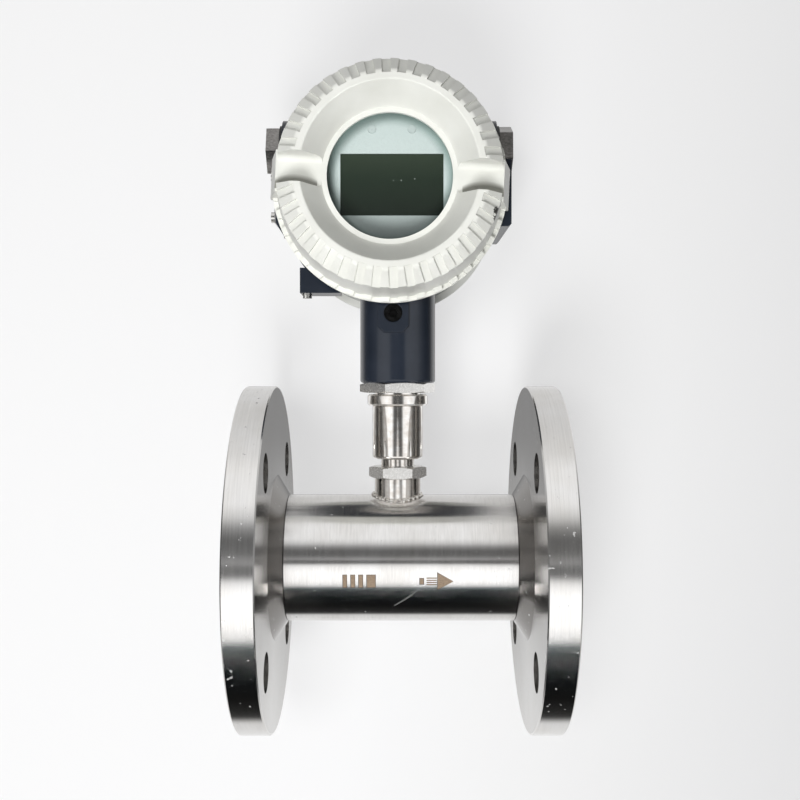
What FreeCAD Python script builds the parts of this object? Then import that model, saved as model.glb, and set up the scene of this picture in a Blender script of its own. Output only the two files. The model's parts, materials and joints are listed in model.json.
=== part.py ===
import FreeCAD, Part
import math
import os
import re
import Sketcher

# Turbine flow meter: flanged measuring tube, rotor and pickup, and a display head on a stem.
# Millimetres. The origin is the centre of the inlet flange's bolting face, +X is the flow,
# +Z is up the stem, and the display looks along -Y.

doc = FreeCAD.newDocument("turbine_meter")
sheet = doc.addObject("Spreadsheet::Sheet", "dims")

SIZES = {
    "measuring tube and flanges": {
        "face_to_face": 150.0, "tube_od": 60.3, "bore_dia": 50.0, "seat_bore_dia": 51.0,
        "seat_shoulder": 59.0, "flange_od": 165.0, "flange_rim": 14.2, "raised_face": 1.0,
        "raised_face_dia": 102.0, "hub_dia": 79.0, "hub_length": 5.8, "bolt_circle": 125.0,
        "bolt_hole_dia": 18.0, "bolt_count": 4, "rim_chamfer": 0.6, "ring_place": 27.5,
        "ring_thickness": 1.5, "ring_groove_depth": 1.0, "ring_height": 2.4, "ring_play": 0.05,
    },
    "flow straighteners, bearings and rotor": {
        "vane_play": 0.05, "vane_count": 4, "vane_thickness": 1.6,
        "nose_length": 30.0, "nose_tip": 1.2, "nose_arc": 58.0, "nose_back": 4.0, "core_dia": 22.0,
        "vane_root": 3.0, "vane_slope": 4.0, "vane_sink": 1.0, "vane_step": 1.5,
        "core_gap": 1.6, "bearing_dia": 9.0, "bearing_length": 9.0, "bearing_play": 0.05,
        "shaft_dia": 3.0, "shaft_play": 0.05, "shaft_set_back": 0.6, "washer_dia": 7.0,
        "washer_play": 0.2, "hub_edge": 1.0,
        "rotor_length": 14.0, "blade_width": 12.0, "blade_count": 8, "blade_thickness": 1.7,
        "blade_pitch": 108.0, "blade_tip_gap": 0.6, "blade_root": 1.0,
    },
    "boss and pickup": {
        "stem_shift": 1.6, "boss_dia": 22.2, "boss_top": 38.3, "bead_width": 2.4, "bead_height": 1.9,
        "bead_slope": 1.33, "hex_margin": 0.1,
        "thread_dia": 16.0, "thread_play": 0.1, "pocket_wall": 1.2, "tip_play": 0.3,
        "pickup_nut_flats": 24.0, "pickup_nut_bottom": 38.6, "pickup_nut_height": 5.5,
        "sleeve_dia": 24.2, "sleeve_bottom": 47.7, "sleeve_top": 73.3, "sleeve_corner": 1.6,
        "sleeve_edge": 0.4, "sleeve_bore": 19.0, "sleeve_floor": 50.5, "probe_edge": 1.0,
        "probe_bore": 12.4, "probe_floor": 1.2,
        "cap_dia": 29.0, "cap_height": 5.4, "cap_plug_length": 7.0, "cap_plug_play": 0.1,
        "cap_corner": 0.8, "spigot_dia": 22.0, "spigot_top": 108.0, "spigot_bore": 13.0,
        "neck_nut_flats": 32.0, "neck_nut_bottom": 79.4, "neck_nut_height": 4.6,
        "neck_nut_turn": 11.4, "neck_nut_slope": 14.0, "pickup_nut_slope": 22.0, 
        "clip_dia": 26.0, "clip_thickness": 1.2, "clip_depth": 1.0, "clip_gap": 0.3,
        "pole_dia": 3.0, "pole_length": 13.0, "bobbin_wall": 0.8, "bobbin_play": 0.15,
        "bobbin_length": 11.0, "coil_set_back": 0.5, "magnet_dia": 10.0, "magnet_length": 6.0,
        "amplifier_dia": 18.6, "board_thickness": 1.6, "lead_dia": 4.4,
    },
    "display head": {
        "head_height": 173.9, "head_shift": 3.3, "housing_dia": 100.0, "housing_front": 26.8,
        "housing_rear": 45.0,
        "spigot_ring_dia": 94.0, "spigot_ring_bore": 87.0, "front_spigot": 15.2,
        "rear_spigot": 14.5, "wall_front": 12.0, "wall_thickness": 3.0, "wire_hole_dia": 11.0,
        "wire_hole_place": 31.0, "neck_dia": 36.0, "neck_bottom": 84.05, "neck_bore_top": 103.9,
        "neck_play": 0.05, "neck_corner": 1.5, "chamber_dia": 28.0, "chamber_drop": 8.0,
        "left_pad_reach": 53.0, "right_pad_reach": 56.0,
        "pad_top": 13.8, "pad_bottom": 17.3, "pad_front": 20.0, "pad_corner": 1.2,
        "pad_root": 30.0, "gusset_rise": 1.3, "gusset_reach": 40.5,
        "entry_dia": 30.0, "left_entry_reach": 54.0, "right_entry_reach": 52.4,
        "entry_height": 27.0, "entry_depth": 26.0,
        "entry_bore": 20.0, "entry_bore_end": 22.0, "lock_width": 14.6, "lock_place": 1.2,
        "lock_bottom": 107.6, "lock_reach": 19.6, "lock_sink": 4.0, "lock_corner": 3.0,
        "lock_height": 116.7, "lock_hole_dia": 8.6,
        "lock_screw_dia": 8.4, "lock_screw_face": 17.0, "lock_screw_tip": 0.1,
        "lock_key_flats": 4.0, "lock_key_depth": 3.0, "neck_fillet": 4.0,
        "earth_reach": 42.9, "earth_inner": 24.0, "earth_top": 35.4, "earth_bottom": 47.3,
        "earth_front": 10.0, "earth_back": 9.0, "earth_screw_place": 40.2,
    },
    "covers": {
        "cover_wall": 4.4, "lip_step": 2.0, "lip_length": 3.1, "cover_play": 0.1,
        "shoulder_step": 2.5, "shoulder_drop": 7.1, "crest_dia": 84.2, "crest_width": 3.9,
        "front_crest": 64.3, "rear_crest": 81.5, "dish_dia": 59.4, "dish_depth": 13.0,
        "rear_dish_dia": 67.0, "rear_dish_depth": 5.0, "rear_end_wall": 4.0, "rear_end_gap": 1.5,
        "rear_room_step": 1.0, "rear_room_slope": 6.0, "side_pad_root": 3.0,
        "window_dia": 54.8, "window_wall": 2.0, "glass_dia": 66.0, "glass_play": 0.1,
        "glass_thickness": 5.0, "gasket_thickness": 1.0, "gasket_lip": 0.8,
        "glass_ring_thickness": 1.8, "glass_ring_bore": 59.0, "inner_face": 41.0,
        "inner_step_dia": 84.0, "bore_end": 44.0, "seal_section": 2.4, "seal_play": 0.2,
        "seal_recess_depth": 2.8, "notch_count": 40, "notch_depth": 1.5, "notch_width": 3.8,
        "notch_bite": 1.2, "crest_corner": 2.6, "crest_inner_corner": 1.0,
        "tooth_base": 4.8, "tooth_tip": 3.6, "tooth_rise": 1.8, "tooth_root": 2.0,
        "tooth_length": 3.0, "trough_width": 13.1, "trough_corner": 3.0, "side_pad_rise": 0.5,
        "side_pad_front": 0.7, "side_pad_height": 18.0, "cover_turn": 2.6,
    },
    "display and boards": {
        "bezel_dia": 84.0, "bezel_face": 38.0, "bezel_thickness": 1.6, "lcd_width": 46.0,
        "lcd_height": 27.5, "lcd_drop": 1.5, "panel_shift": 0.8, "lcd_play": 0.1,
        "lcd_border": 3.5,
        "lcd_depth": 3.4, "lcd_set_back": 0.2, "key_dia": 3.6, "key_play": 0.1,
        "key_spread": 8.9, "key_rise": 24.6, "key_stand": 0.4, "key_travel": 0.4,
        "switch_size": 6.0, "switch_height": 1.0, "display_board_dia": 80.0,
        "main_board_dia": 82.0, "main_board_place": 11.0, "pillar_circle": 70.0,
        "pillar_flats": 5.0, "plug_width": 10.0, "plug_depth": 8.0, "plug_height": 10.0,
        "plug_bottom": 40.0, "socket_width": 12.0, "socket_rise": 1.0,
        "terminal_width": 48.0, "terminal_depth": 14.0, "terminal_height": 20.0,
        "terminal_place": 14.0, "terminal_count": 6, "terminal_pitch": 7.6,
        "terminal_screw_dia": 4.6, "terminal_wire_dia": 3.4, "terminal_well": 3.0,
        "terminal_slot": 0.8, "terminal_slot_depth": 0.8, "terminal_screw_drop": 1.0,
    },
    "plugs, plate and earth screw": {
        "plug_flats": 22.0, "plug_head": 6.5, "plug_shank": 13.0, "plug_play": 0.1,
        "plug_turn_left": 10.0, "plug_turn_right": 25.0, "plug_washer_dia": 25.0,
        "plug_washer_thickness": 1.5,
        "plate_thickness": 0.8, "plate_margin": 1.6, "plate_foot": 3.0, "plate_screw_dia": 3.0,
        "plate_head_dia": 5.0, "plate_head_height": 1.8, "plate_screw_rise": 6.1,
        "plate_screw_drop": 12.6, "plate_screw_inset": 5.0, "plate_screw_length": 6.0,
        "screw_play": 0.05, "earth_screw_dia": 2.5, "earth_head_dia": 4.4,
        "earth_head_height": 1.3, "earth_washer_dia": 5.2, "earth_washer_thickness": 0.5,
        "earth_screw_length": 8.0, "screw_slot_width": 0.8, "screw_slot_depth": 0.7,
    },
}


def fill_sheet():
    row = 1
    for group, sizes in SIZES.items():
        sheet.set(f"A{row}", group)
        row += 1
        for alias, size in sizes.items():
            sheet.set(f"A{row}", alias)
            sheet.set(f"B{row}", str(size))
            sheet.setAlias(f"B{row}", alias)
            row += 1
    doc.recompute()


fill_sheet()

ALIAS = re.compile(r"\b[a-z]+(?:_[a-z]+)+\b")     # every size has an underscore in its name
OVER = 1.0                                         # how far a cutting tool runs past a face


# Links and sketches

def linked(formula):
    return ALIAS.sub(lambda found: "dims." + found.group(0), formula)


def number(formula):
    answer = sheet.evalExpression(formula)
    return float(getattr(answer, "Value", answer))


def bind(thing, prop, formula):
    thing.setExpression(prop, linked(formula))


def origin_part(body, role):
    return [item for item in body.Origin.OriginFeatures if item.Role == role][0]


def new_body(name, at=("0", "0", "0")):
    body = doc.addObject("PartDesign::Body", name)
    body.Label = name
    body.AllowCompound = True
    for axis, formula in zip("xyz", at):
        if formula != "0":
            bind(body, f"Placement.Base.{axis}", formula)
    return body


def flat_sketch(body, plane, shift="0", turn="0", lean="0"):
    # turn spins the outline in its plane, lean tips the plane about its own horizontal
    sketch = body.newObject("Sketcher::SketchObject", "outline")
    sketch.AttachmentSupport = [(origin_part(body, plane), "")]
    sketch.MapMode = "FlatFace"
    if shift != "0":
        bind(sketch, "AttachmentOffset.Base.z", shift)
    if turn != "0":
        bind(sketch, "AttachmentOffset.Rotation.Angle", turn)
    if lean != "0":
        tipped = FreeCAD.Rotation(FreeCAD.Vector(1, 0, 0), 1)
        sketch.AttachmentOffset = FreeCAD.Placement(FreeCAD.Vector(), tipped)
        bind(sketch, "AttachmentOffset.Rotation.Angle", lean)
    return sketch


def pin_point(sketch, geometry, end, place):
    for kind, formula in zip(("DistanceX", "DistanceY"), place):
        rule = Sketcher.Constraint(kind, -1, 1, geometry, end, number(formula))
        index = sketch.addConstraint(rule)
        bind(sketch, f"Constraints[{index}]", formula)


def draw_outline(sketch, corners):
    # a corner is (across, up), or (across, up, radius, bulge) where an arc leads to the next one
    places = [FreeCAD.Vector(number(item[0]), number(item[1]), 0) for item in corners]
    first = sketch.GeometryCount
    ends = []
    for index, corner in enumerate(corners):
        start = places[index]
        end = places[(index + 1) % len(corners)]
        if len(corner) == 2:
            sketch.addGeometry(Part.LineSegment(start, end), False)
            ends.append((1, 2))
            continue
        radius = number(corner[2])
        chord = end - start
        side = FreeCAD.Vector(chord.y, -chord.x, 0).normalize() * corner[3]
        rise = math.sqrt(max(radius ** 2 - (chord.Length / 2) ** 2, 0.0))
        middle = (start + end) * 0.5 + side * (radius - rise)
        sketch.addGeometry(Part.Arc(start, middle, end), False)
        forward = corner[3] > 0
        ends.append((1, 2) if forward else (2, 1))
    for index, corner in enumerate(corners):
        after = (index + 1) % len(corners)
        rule = Sketcher.Constraint("Coincident", first + index, ends[index][1],
                                   first + after, ends[after][0])
        sketch.addConstraint(rule)
        pin_point(sketch, first + index, ends[index][0], corner[:2])
    for index, corner in enumerate(corners):
        if len(corner) == 4:
            rule = Sketcher.Constraint("Radius", first + index, number(corner[2]))
            place = sketch.addConstraint(rule)
            bind(sketch, f"Constraints[{place}]", corner[2])


def draw_circle(sketch, centre, radius):
    place = FreeCAD.Vector(number(centre[0]), number(centre[1]), 0)
    index = sketch.addGeometry(Part.Circle(place, FreeCAD.Vector(0, 0, 1), number(radius)), False)
    pin_point(sketch, index, 3, centre)
    rule = sketch.addConstraint(Sketcher.Constraint("Radius", index, number(radius)))
    bind(sketch, f"Constraints[{rule}]", radius)


def box_corners(left, right, low, high):
    return [(left, low), (right, low), (right, high), (left, high)]


def hex_corners(flats, turn="0", centre=("0", "0")):
    corners = []
    for corner in range(6):
        angle = f"({turn} + {60 * corner}) * 1 deg"
        across = f"{centre[0]} + {flats} / sqrt(3) * cos({angle})"
        up = f"{centre[1]} + {flats} / sqrt(3) * sin({angle})"
        corners.append((across, up))
    return corners


# Features

def finish_feature(body, feature, before, cut):
    doc.recompute()
    after = feature.Shape.Volume
    if cut and before is not None and after > before - 1e-3:
        raise RuntimeError(f"{body.Label}: {feature.Name} cuts nothing")
    if not cut and before is not None and after < before + 1e-3:
        raise RuntimeError(f"{body.Label}: {feature.Name} adds nothing")
    return feature


def volume_so_far(body):
    doc.recompute()
    if body.Tip is None or body.Tip.Shape.isNull():
        return None
    return body.Tip.Shape.Volume


def turned(body, plane, corners, axis, cut=False):
    before = volume_so_far(body)
    sketch = flat_sketch(body, plane)
    draw_outline(sketch, corners)
    doc.recompute()
    kind = "PartDesign::Groove" if cut else "PartDesign::Revolution"
    feature = body.newObject(kind, "groove" if cut else "turning")
    feature.Profile = sketch
    feature.ReferenceAxis = (sketch, [axis])
    feature.Angle = 360
    return finish_feature(body, feature, before, cut)


def extruded(body, plane, shapes, length, cut=False, shift="0", both=False, lean="0"):
    # it runs along +X from the YZ plane, along -Y from the XZ plane and along +Z from the XY plane
    before = volume_so_far(body)
    sketch = flat_sketch(body, plane, shift, lean=lean)
    for shape in shapes:
        if isinstance(shape, tuple):
            draw_circle(sketch, shape[0], shape[1])
        else:
            draw_outline(sketch, shape)
    doc.recompute()
    feature = body.newObject("PartDesign::Pocket" if cut else "PartDesign::Pad",
                             "pocket" if cut else "pad")
    feature.Profile = sketch
    bind(feature, "Length", length)
    if both:
        feature.SideType = "Symmetric"
    feature.Reversed = cut
    return finish_feature(body, feature, before, cut)


def around(body, feature, axis, count, cut=False):
    before = body.Tip.Shape.Volume
    pattern = body.newObject("PartDesign::PolarPattern", "ring")
    pattern.Originals = [feature]
    pattern.Axis = (origin_part(body, axis), [""])
    pattern.Angle = 360
    bind(pattern, "Occurrences", count)
    body.Tip = pattern
    return finish_feature(body, pattern, before, cut)


def in_a_row(body, feature, axis, count, length, cut=False):
    before = body.Tip.Shape.Volume
    pattern = body.newObject("PartDesign::LinearPattern", "row")
    pattern.Originals = [feature]
    pattern.Direction = (origin_part(body, axis), [""])
    bind(pattern, "Length", length)
    bind(pattern, "Occurrences", count)
    body.Tip = pattern
    return finish_feature(body, pattern, before, cut)


def rounded(body, size, wanted, kind="PartDesign::Fillet"):
    base = body.Tip
    doc.recompute()
    names = [f"Edge{index}" for index, edge in enumerate(base.Shape.Edges, 1) if wanted(edge)]
    if not names:
        raise RuntimeError(f"{body.Label}: no edge to round")
    feature = body.newObject(kind, "edge")
    feature.Base = (base, names)
    bind(feature, "Radius" if kind.endswith("Fillet") else "Size", size)
    doc.recompute()
    return feature


def ring_edge(axis, radius, height):
    # picks the circle of a given radius at a given height along one of the body's own axes
    def wanted(edge):
        if not isinstance(edge.Curve, Part.Circle):
            return False
        centre = edge.Curve.Center
        along = (centre.x, centre.y, centre.z)[axis]
        return abs(edge.Curve.Radius - number(radius)) < 1e-4 and abs(along - number(height)) < 1e-4
    return wanted


def hex_nut(name, at, flats, height, bore, slope, turn="0"):
    body = new_body(name, at)
    extruded(body, "XY_Plane", [hex_corners(flats, turn)], height)
    corner = f"({flats} / sqrt(3) + hex_margin)"
    drop = f"({corner} - {flats} / 2) * tan({slope} * 1 deg)"
    turned(body, "XZ_Plane", [(f"{flats} / 2", height), (corner, f"{height} - {drop}"),
                              (corner, height)], "V_Axis", cut=True)
    turned(body, "XZ_Plane", [(f"{flats} / 2", "0"), (corner, "0"), (corner, drop)],
           "V_Axis", cut=True)
    extruded(body, "XY_Plane", [(("0", "0"), bore)], height, cut=True)
    return body


# Places that several pieces share

MIDDLE = "(face_to_face / 2 - raised_face)"
STEM_PLACE = f"({MIDDLE} - stem_shift)"
HEAD_PLACE = f"({STEM_PLACE} - head_shift)"
STEM = (STEM_PLACE, "0", "0")
HEAD = (HEAD_PLACE, "0", "head_height")
TUBE_START = "(flange_rim + hub_length)"
CORE_END = f"({MIDDLE} - rotor_length / 2 - core_gap)"
PROBE_TIP = "(bore_dia / 2 + pocket_wall + tip_play)"
CAP_TOP = "(sleeve_top + cap_height)"
CLIP_BOTTOM = "(neck_bore_top + clip_gap)"


def along(side, formula):
    # the outlet half mirrors the inlet half
    return formula if side == "inlet" else f"2 * {MIDDLE} - ({formula})"


def mirrored(side, corners):
    return [(along(side, corner[0]),) + tuple(corner[1:]) for corner in corners]


# Measuring tube, flanges, boss

def meter_tube():
    body = new_body("meter_tube")
    seat = "seat_bore_dia / 2"
    groove = "(seat_bore_dia / 2 + ring_groove_depth)"
    inner = [(TUBE_START, seat), ("ring_place - ring_play", seat), ("ring_place - ring_play", groove),
             ("ring_place + ring_thickness + ring_play", groove),
             ("ring_place + ring_thickness + ring_play", seat),
             ("seat_shoulder", seat), ("seat_shoulder", "bore_dia / 2")]
    outer = [(along("outlet", place), size) for place, size in reversed(inner)]
    skin = [(along("outlet", TUBE_START), "tube_od / 2"), (TUBE_START, "tube_od / 2")]
    turned(body, "XZ_Plane", inner + outer + skin, "H_Axis")
    radius = "thread_dia / 2 + thread_play"
    extruded(body, "XY_Plane", [((STEM_PLACE, "0"), radius)], "tube_od / 2",
             cut=True, shift="bore_dia / 2 + pocket_wall")
    return body


def flange(side):
    body = new_body(f"{side}_flange")
    corners = [("-raised_face", "seat_bore_dia / 2"), ("-raised_face", "raised_face_dia / 2"),
               ("0", "raised_face_dia / 2"), ("0", "flange_od / 2 - rim_chamfer"),
               ("rim_chamfer", "flange_od / 2"), ("flange_rim - rim_chamfer", "flange_od / 2"),
               ("flange_rim", "flange_od / 2 - rim_chamfer"), ("flange_rim", "hub_dia / 2"),
               (TUBE_START, "tube_od / 2"), (TUBE_START, "seat_bore_dia / 2")]
    turned(body, "XZ_Plane", mirrored(side, corners), "H_Axis")
    reach = "bolt_circle / 2 * sqrt(0.5)"
    start = "0" if side == "inlet" else along("outlet", "flange_rim")
    hole = extruded(body, "YZ_Plane", [((reach, reach), "bolt_hole_dia / 2")], "flange_rim",
                    cut=True, shift=start)
    around(body, hole, "X_Axis", "bolt_count", cut=True)
    return body


def sensor_boss():
    body = new_body("sensor_boss", STEM)
    bore = "(thread_dia / 2 + thread_play)"
    turned(body, "XZ_Plane", [(bore, "0"), ("boss_dia / 2", "0"), ("boss_dia / 2", "boss_top"),
                              (bore, "boss_top")], "V_Axis")
    turned(body, "XZ_Plane", box_corners("-boss_dia", "boss_dia", "0", "tube_od / 2"),
           "H_Axis", cut=True)
    return body


def lying_cylinder(name, radius, length):
    cylinder = doc.addObject("Part::Cylinder", name)
    bind(cylinder, "Radius", radius)
    bind(cylinder, "Height", length)
    cylinder.Placement.Rotation = FreeCAD.Rotation(FreeCAD.Vector(0, 1, 0), 90)
    bind(cylinder, "Placement.Base.x", f"{STEM_PLACE} - ({length}) / 2")
    return cylinder


def standing_cylinder(name, radius, length):
    cylinder = doc.addObject("Part::Cylinder", name)
    bind(cylinder, "Radius", radius)
    bind(cylinder, "Height", length)
    bind(cylinder, "Placement.Base.x", STEM_PLACE)
    return cylinder


def joined(kind, name, base, tool):
    result = doc.addObject(kind, name)
    result.Base = base
    result.Tool = tool
    return result


def boss_weld_bead():
    # the bead is a collar that follows the saddle between boss and tube
    skin = lying_cylinder("bead_skin", "tube_od / 2 + bead_height", "2 * boss_dia")
    core = lying_cylinder("bead_core", "tube_od / 2", "3 * boss_dia")
    edge = standing_cylinder("bead_edge", "boss_dia / 2 + bead_width", "tube_od")
    boss = standing_cylinder("bead_boss", "boss_dia / 2", f"tube_od + {OVER}")
    shell = joined("Part::Cut", "bead_shell", skin, core)
    collar = joined("Part::Cut", "bead_collar", edge, boss)
    bead = joined("Part::Common", "bead_blank", shell, collar)
    doc.recompute()
    rim = [index for index, line in enumerate(bead.Shape.Edges, 1)
           if on_bead_rim(line, number("boss_dia / 2 + bead_width"),
                          number("tube_od / 2 + bead_height"))]
    cut = doc.addObject("Part::Chamfer", "boss_weld_bead")
    cut.Label = "boss_weld_bead"
    cut.Base = bead
    size = number("bead_slope")
    cut.Edges = [(index, size, size) for index in rim]
    return cut


def on_bead_rim(line, outer, top):
    for vertex in line.discretize(3):
        radius = math.hypot(vertex.x - number(STEM_PLACE), vertex.y)
        height = math.hypot(vertex.y, vertex.z)
        if abs(radius - outer) > 1e-3 or abs(height - top) > 1e-3:
            return False
    return True


def retaining_ring(side):
    body = new_body(f"{side}_retaining_ring")
    outer = "(seat_bore_dia / 2 + ring_groove_depth - ring_play)"
    inner = f"{outer} - ring_groove_depth - ring_height"
    turned(body, "XZ_Plane", mirrored(side, box_corners("ring_place", "ring_place + ring_thickness",
                                                        inner, outer)), "H_Axis")
    return body


# Flow straighteners, bearings, rotor

def diffuser(side):
    body = new_body(f"{side}_diffuser")
    seat = "(bearing_dia / 2 + bearing_play)"
    tip = f"({CORE_END} - bearing_length - nose_back - nose_length)"
    bulge = -1 if side == "inlet" else 1
    corners = [(tip, "0"), (tip, "nose_tip", "nose_arc", bulge),
               (f"{tip} + nose_length", "core_dia / 2"), (CORE_END, "core_dia / 2"),
               (CORE_END, seat), (f"{CORE_END} - bearing_length", seat),
               (f"{CORE_END} - bearing_length", "0")]
    turned(body, "XZ_Plane", mirrored(side, corners), "H_Axis")
    vane_start = "ring_place + ring_thickness"
    vane = extruded(body, "XZ_Plane", [mirrored(side, [
        (vane_start, "core_dia / 2 - vane_root"),
        ("seat_shoulder - vane_slope", "core_dia / 2 - vane_sink"),
        ("seat_shoulder", "bore_dia / 2 - vane_step"),
        ("seat_shoulder", "seat_bore_dia / 2 - vane_play"),
        (vane_start, "seat_bore_dia / 2 - vane_play")])], "vane_thickness", both=True)
    around(body, vane, "X_Axis", "vane_count")
    return body


def bearing(side):
    body = new_body(f"{side}_bearing")
    turned(body, "XZ_Plane", mirrored(side, box_corners(
        f"{CORE_END} - bearing_length", CORE_END, "shaft_dia / 2 + shaft_play", "bearing_dia / 2")),
        "H_Axis")
    return body


def thrust_washers():
    body = new_body("thrust_washers")
    for side in ("inlet", "outlet"):
        turned(body, "XZ_Plane", mirrored(side, box_corners(
            CORE_END, f"{CORE_END} + core_gap - washer_play", "shaft_dia / 2 + shaft_play",
            "washer_dia / 2")), "H_Axis")
    return body


def rotor_shaft():
    body = new_body("rotor_shaft")
    end = f"{CORE_END} - bearing_length + shaft_set_back"
    turned(body, "XZ_Plane", box_corners(end, along("outlet", end), "0", "shaft_dia / 2"), "H_Axis")
    return body


def rotor():
    body = new_body("rotor", (MIDDLE, "0", "0"))
    half = "rotor_length / 2"
    core = [(f"-{half}", "shaft_dia / 2"), (f"-{half}", "core_dia / 2 - hub_edge"),
            (f"hub_edge - {half}", "core_dia / 2"), (f"{half} - hub_edge", "core_dia / 2"),
            (half, "core_dia / 2 - hub_edge"), (half, "shaft_dia / 2")]
    turned(body, "XZ_Plane", core, "H_Axis")
    stations = 5
    sections = []
    for station in range(stations):
        place = f"blade_width * ({station} / {stations - 1} - 0.5)"
        sketch = flat_sketch(body, "YZ_Plane", place, f"({place}) / blade_pitch * 360")
        slant = "blade_thickness / 2"
        draw_outline(sketch, box_corners(f"-{slant}", slant, "core_dia / 2 - blade_root",
                                         "bore_dia / 2 - blade_tip_gap"))
        sections.append(sketch)
    doc.recompute()
    before = body.Tip.Shape.Volume
    blade = body.newObject("PartDesign::AdditiveLoft", "blade")
    blade.Profile = sections[0]
    blade.Sections = sections[1:]
    finish_feature(body, blade, before, False)
    around(body, blade, "X_Axis", "blade_count")
    return body


# Pickup

def pickup_body():
    body = new_body("pickup_body", STEM)
    corners = [("0", PROBE_TIP), ("thread_dia / 2 - probe_edge", PROBE_TIP),
               ("thread_dia / 2", f"{PROBE_TIP} + probe_edge"), ("thread_dia / 2", "sleeve_bottom"),
               ("sleeve_dia / 2 - sleeve_corner", "sleeve_bottom", "sleeve_corner", 1),
               ("sleeve_dia / 2", "sleeve_bottom + sleeve_corner"),
               ("sleeve_dia / 2", "sleeve_top - sleeve_edge"),
               ("sleeve_dia / 2 - sleeve_edge", "sleeve_top"),
               ("sleeve_bore / 2", "sleeve_top"), ("sleeve_bore / 2", "sleeve_floor"),
               ("probe_bore / 2", "sleeve_floor"), ("probe_bore / 2", f"{PROBE_TIP} + probe_floor"),
               ("0", f"{PROBE_TIP} + probe_floor")]
    turned(body, "XZ_Plane", corners, "V_Axis")
    return body


def pickup_cap():
    body = new_body("pickup_cap", STEM)
    plug = "(sleeve_bore / 2 - cap_plug_play)"
    corners = [("spigot_bore / 2", "sleeve_top - cap_plug_length"),
               (plug, "sleeve_top - cap_plug_length"), (plug, "sleeve_top"),
               ("cap_dia / 2 - cap_corner", "sleeve_top"), ("cap_dia / 2", "sleeve_top + cap_corner"),
               ("cap_dia / 2", f"{CAP_TOP} - cap_corner"), ("cap_dia / 2 - cap_corner", CAP_TOP),
               ("spigot_dia / 2", CAP_TOP), ("spigot_dia / 2", CLIP_BOTTOM),
               ("spigot_dia / 2 - clip_depth", CLIP_BOTTOM),
               ("spigot_dia / 2 - clip_depth", f"{CLIP_BOTTOM} + clip_thickness"),
               ("spigot_dia / 2", f"{CLIP_BOTTOM} + clip_thickness"),
               ("spigot_dia / 2", "spigot_top"), ("spigot_bore / 2", "spigot_top")]
    turned(body, "XZ_Plane", corners, "V_Axis")
    return body


def swivel_clip():
    body = new_body("swivel_retaining_ring", STEM)
    turned(body, "XZ_Plane", box_corners("spigot_dia / 2 - clip_depth", "clip_dia / 2", CLIP_BOTTOM,
                                         f"{CLIP_BOTTOM} + clip_thickness"), "V_Axis")
    return body


def pickup_insides():
    floor = f"({PROBE_TIP} + probe_floor)"
    wall = "bobbin_wall"
    reach = "(probe_bore / 2 - bobbin_play)"
    bobbin_top = f"({floor} + bobbin_length)"
    tube = f"(pole_dia / 2 + {wall})"
    bobbin = new_body("pickup_bobbin", STEM)
    turned(bobbin, "XZ_Plane", [
        ("pole_dia / 2", floor), (reach, floor), (reach, f"{floor} + {wall}"),
        (tube, f"{floor} + {wall}"), (tube, f"{bobbin_top} - {wall}"),
        (reach, f"{bobbin_top} - {wall}"), (reach, bobbin_top), ("pole_dia / 2", bobbin_top)],
        "V_Axis")
    coil = new_body("pickup_coil", STEM)
    turned(coil, "XZ_Plane", box_corners(tube, f"{reach} - coil_set_back", f"{floor} + {wall}",
                                         f"{bobbin_top} - {wall}"), "V_Axis")
    pin = new_body("pickup_pole_pin", STEM)
    turned(pin, "XZ_Plane", box_corners("0", "pole_dia / 2", floor, f"{floor} + pole_length"),
           "V_Axis")
    magnet = new_body("pickup_magnet", STEM)
    bottom = f"{floor} + pole_length"
    turned(magnet, "XZ_Plane", box_corners("0", "magnet_dia / 2", bottom,
                                           f"{bottom} + magnet_length"), "V_Axis")
    board = new_body("pickup_board", STEM)
    turned(board, "XZ_Plane", box_corners("0", "amplifier_dia / 2", "sleeve_floor",
                                          "sleeve_floor + board_thickness"), "V_Axis")
    lead = new_body("signal_lead", STEM)
    turned(lead, "XZ_Plane", box_corners("0", "lead_dia / 2", "sleeve_floor + board_thickness",
                                         "head_height - plug_bottom"), "V_Axis")
    return [bobbin, coil, pin, magnet, board, lead]


# Housing

def neck_joint(edge):
    # the saddle line where the neck meets the round housing
    for point in edge.discretize(5):
        off_neck = abs(math.hypot(point.x - number("head_shift"), point.y) - number("neck_dia / 2"))
        off_shell = abs(math.hypot(point.x, point.z) - number("housing_dia / 2"))
        if max(off_neck, off_shell) > 1e-3:
            return False
    return True


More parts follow.
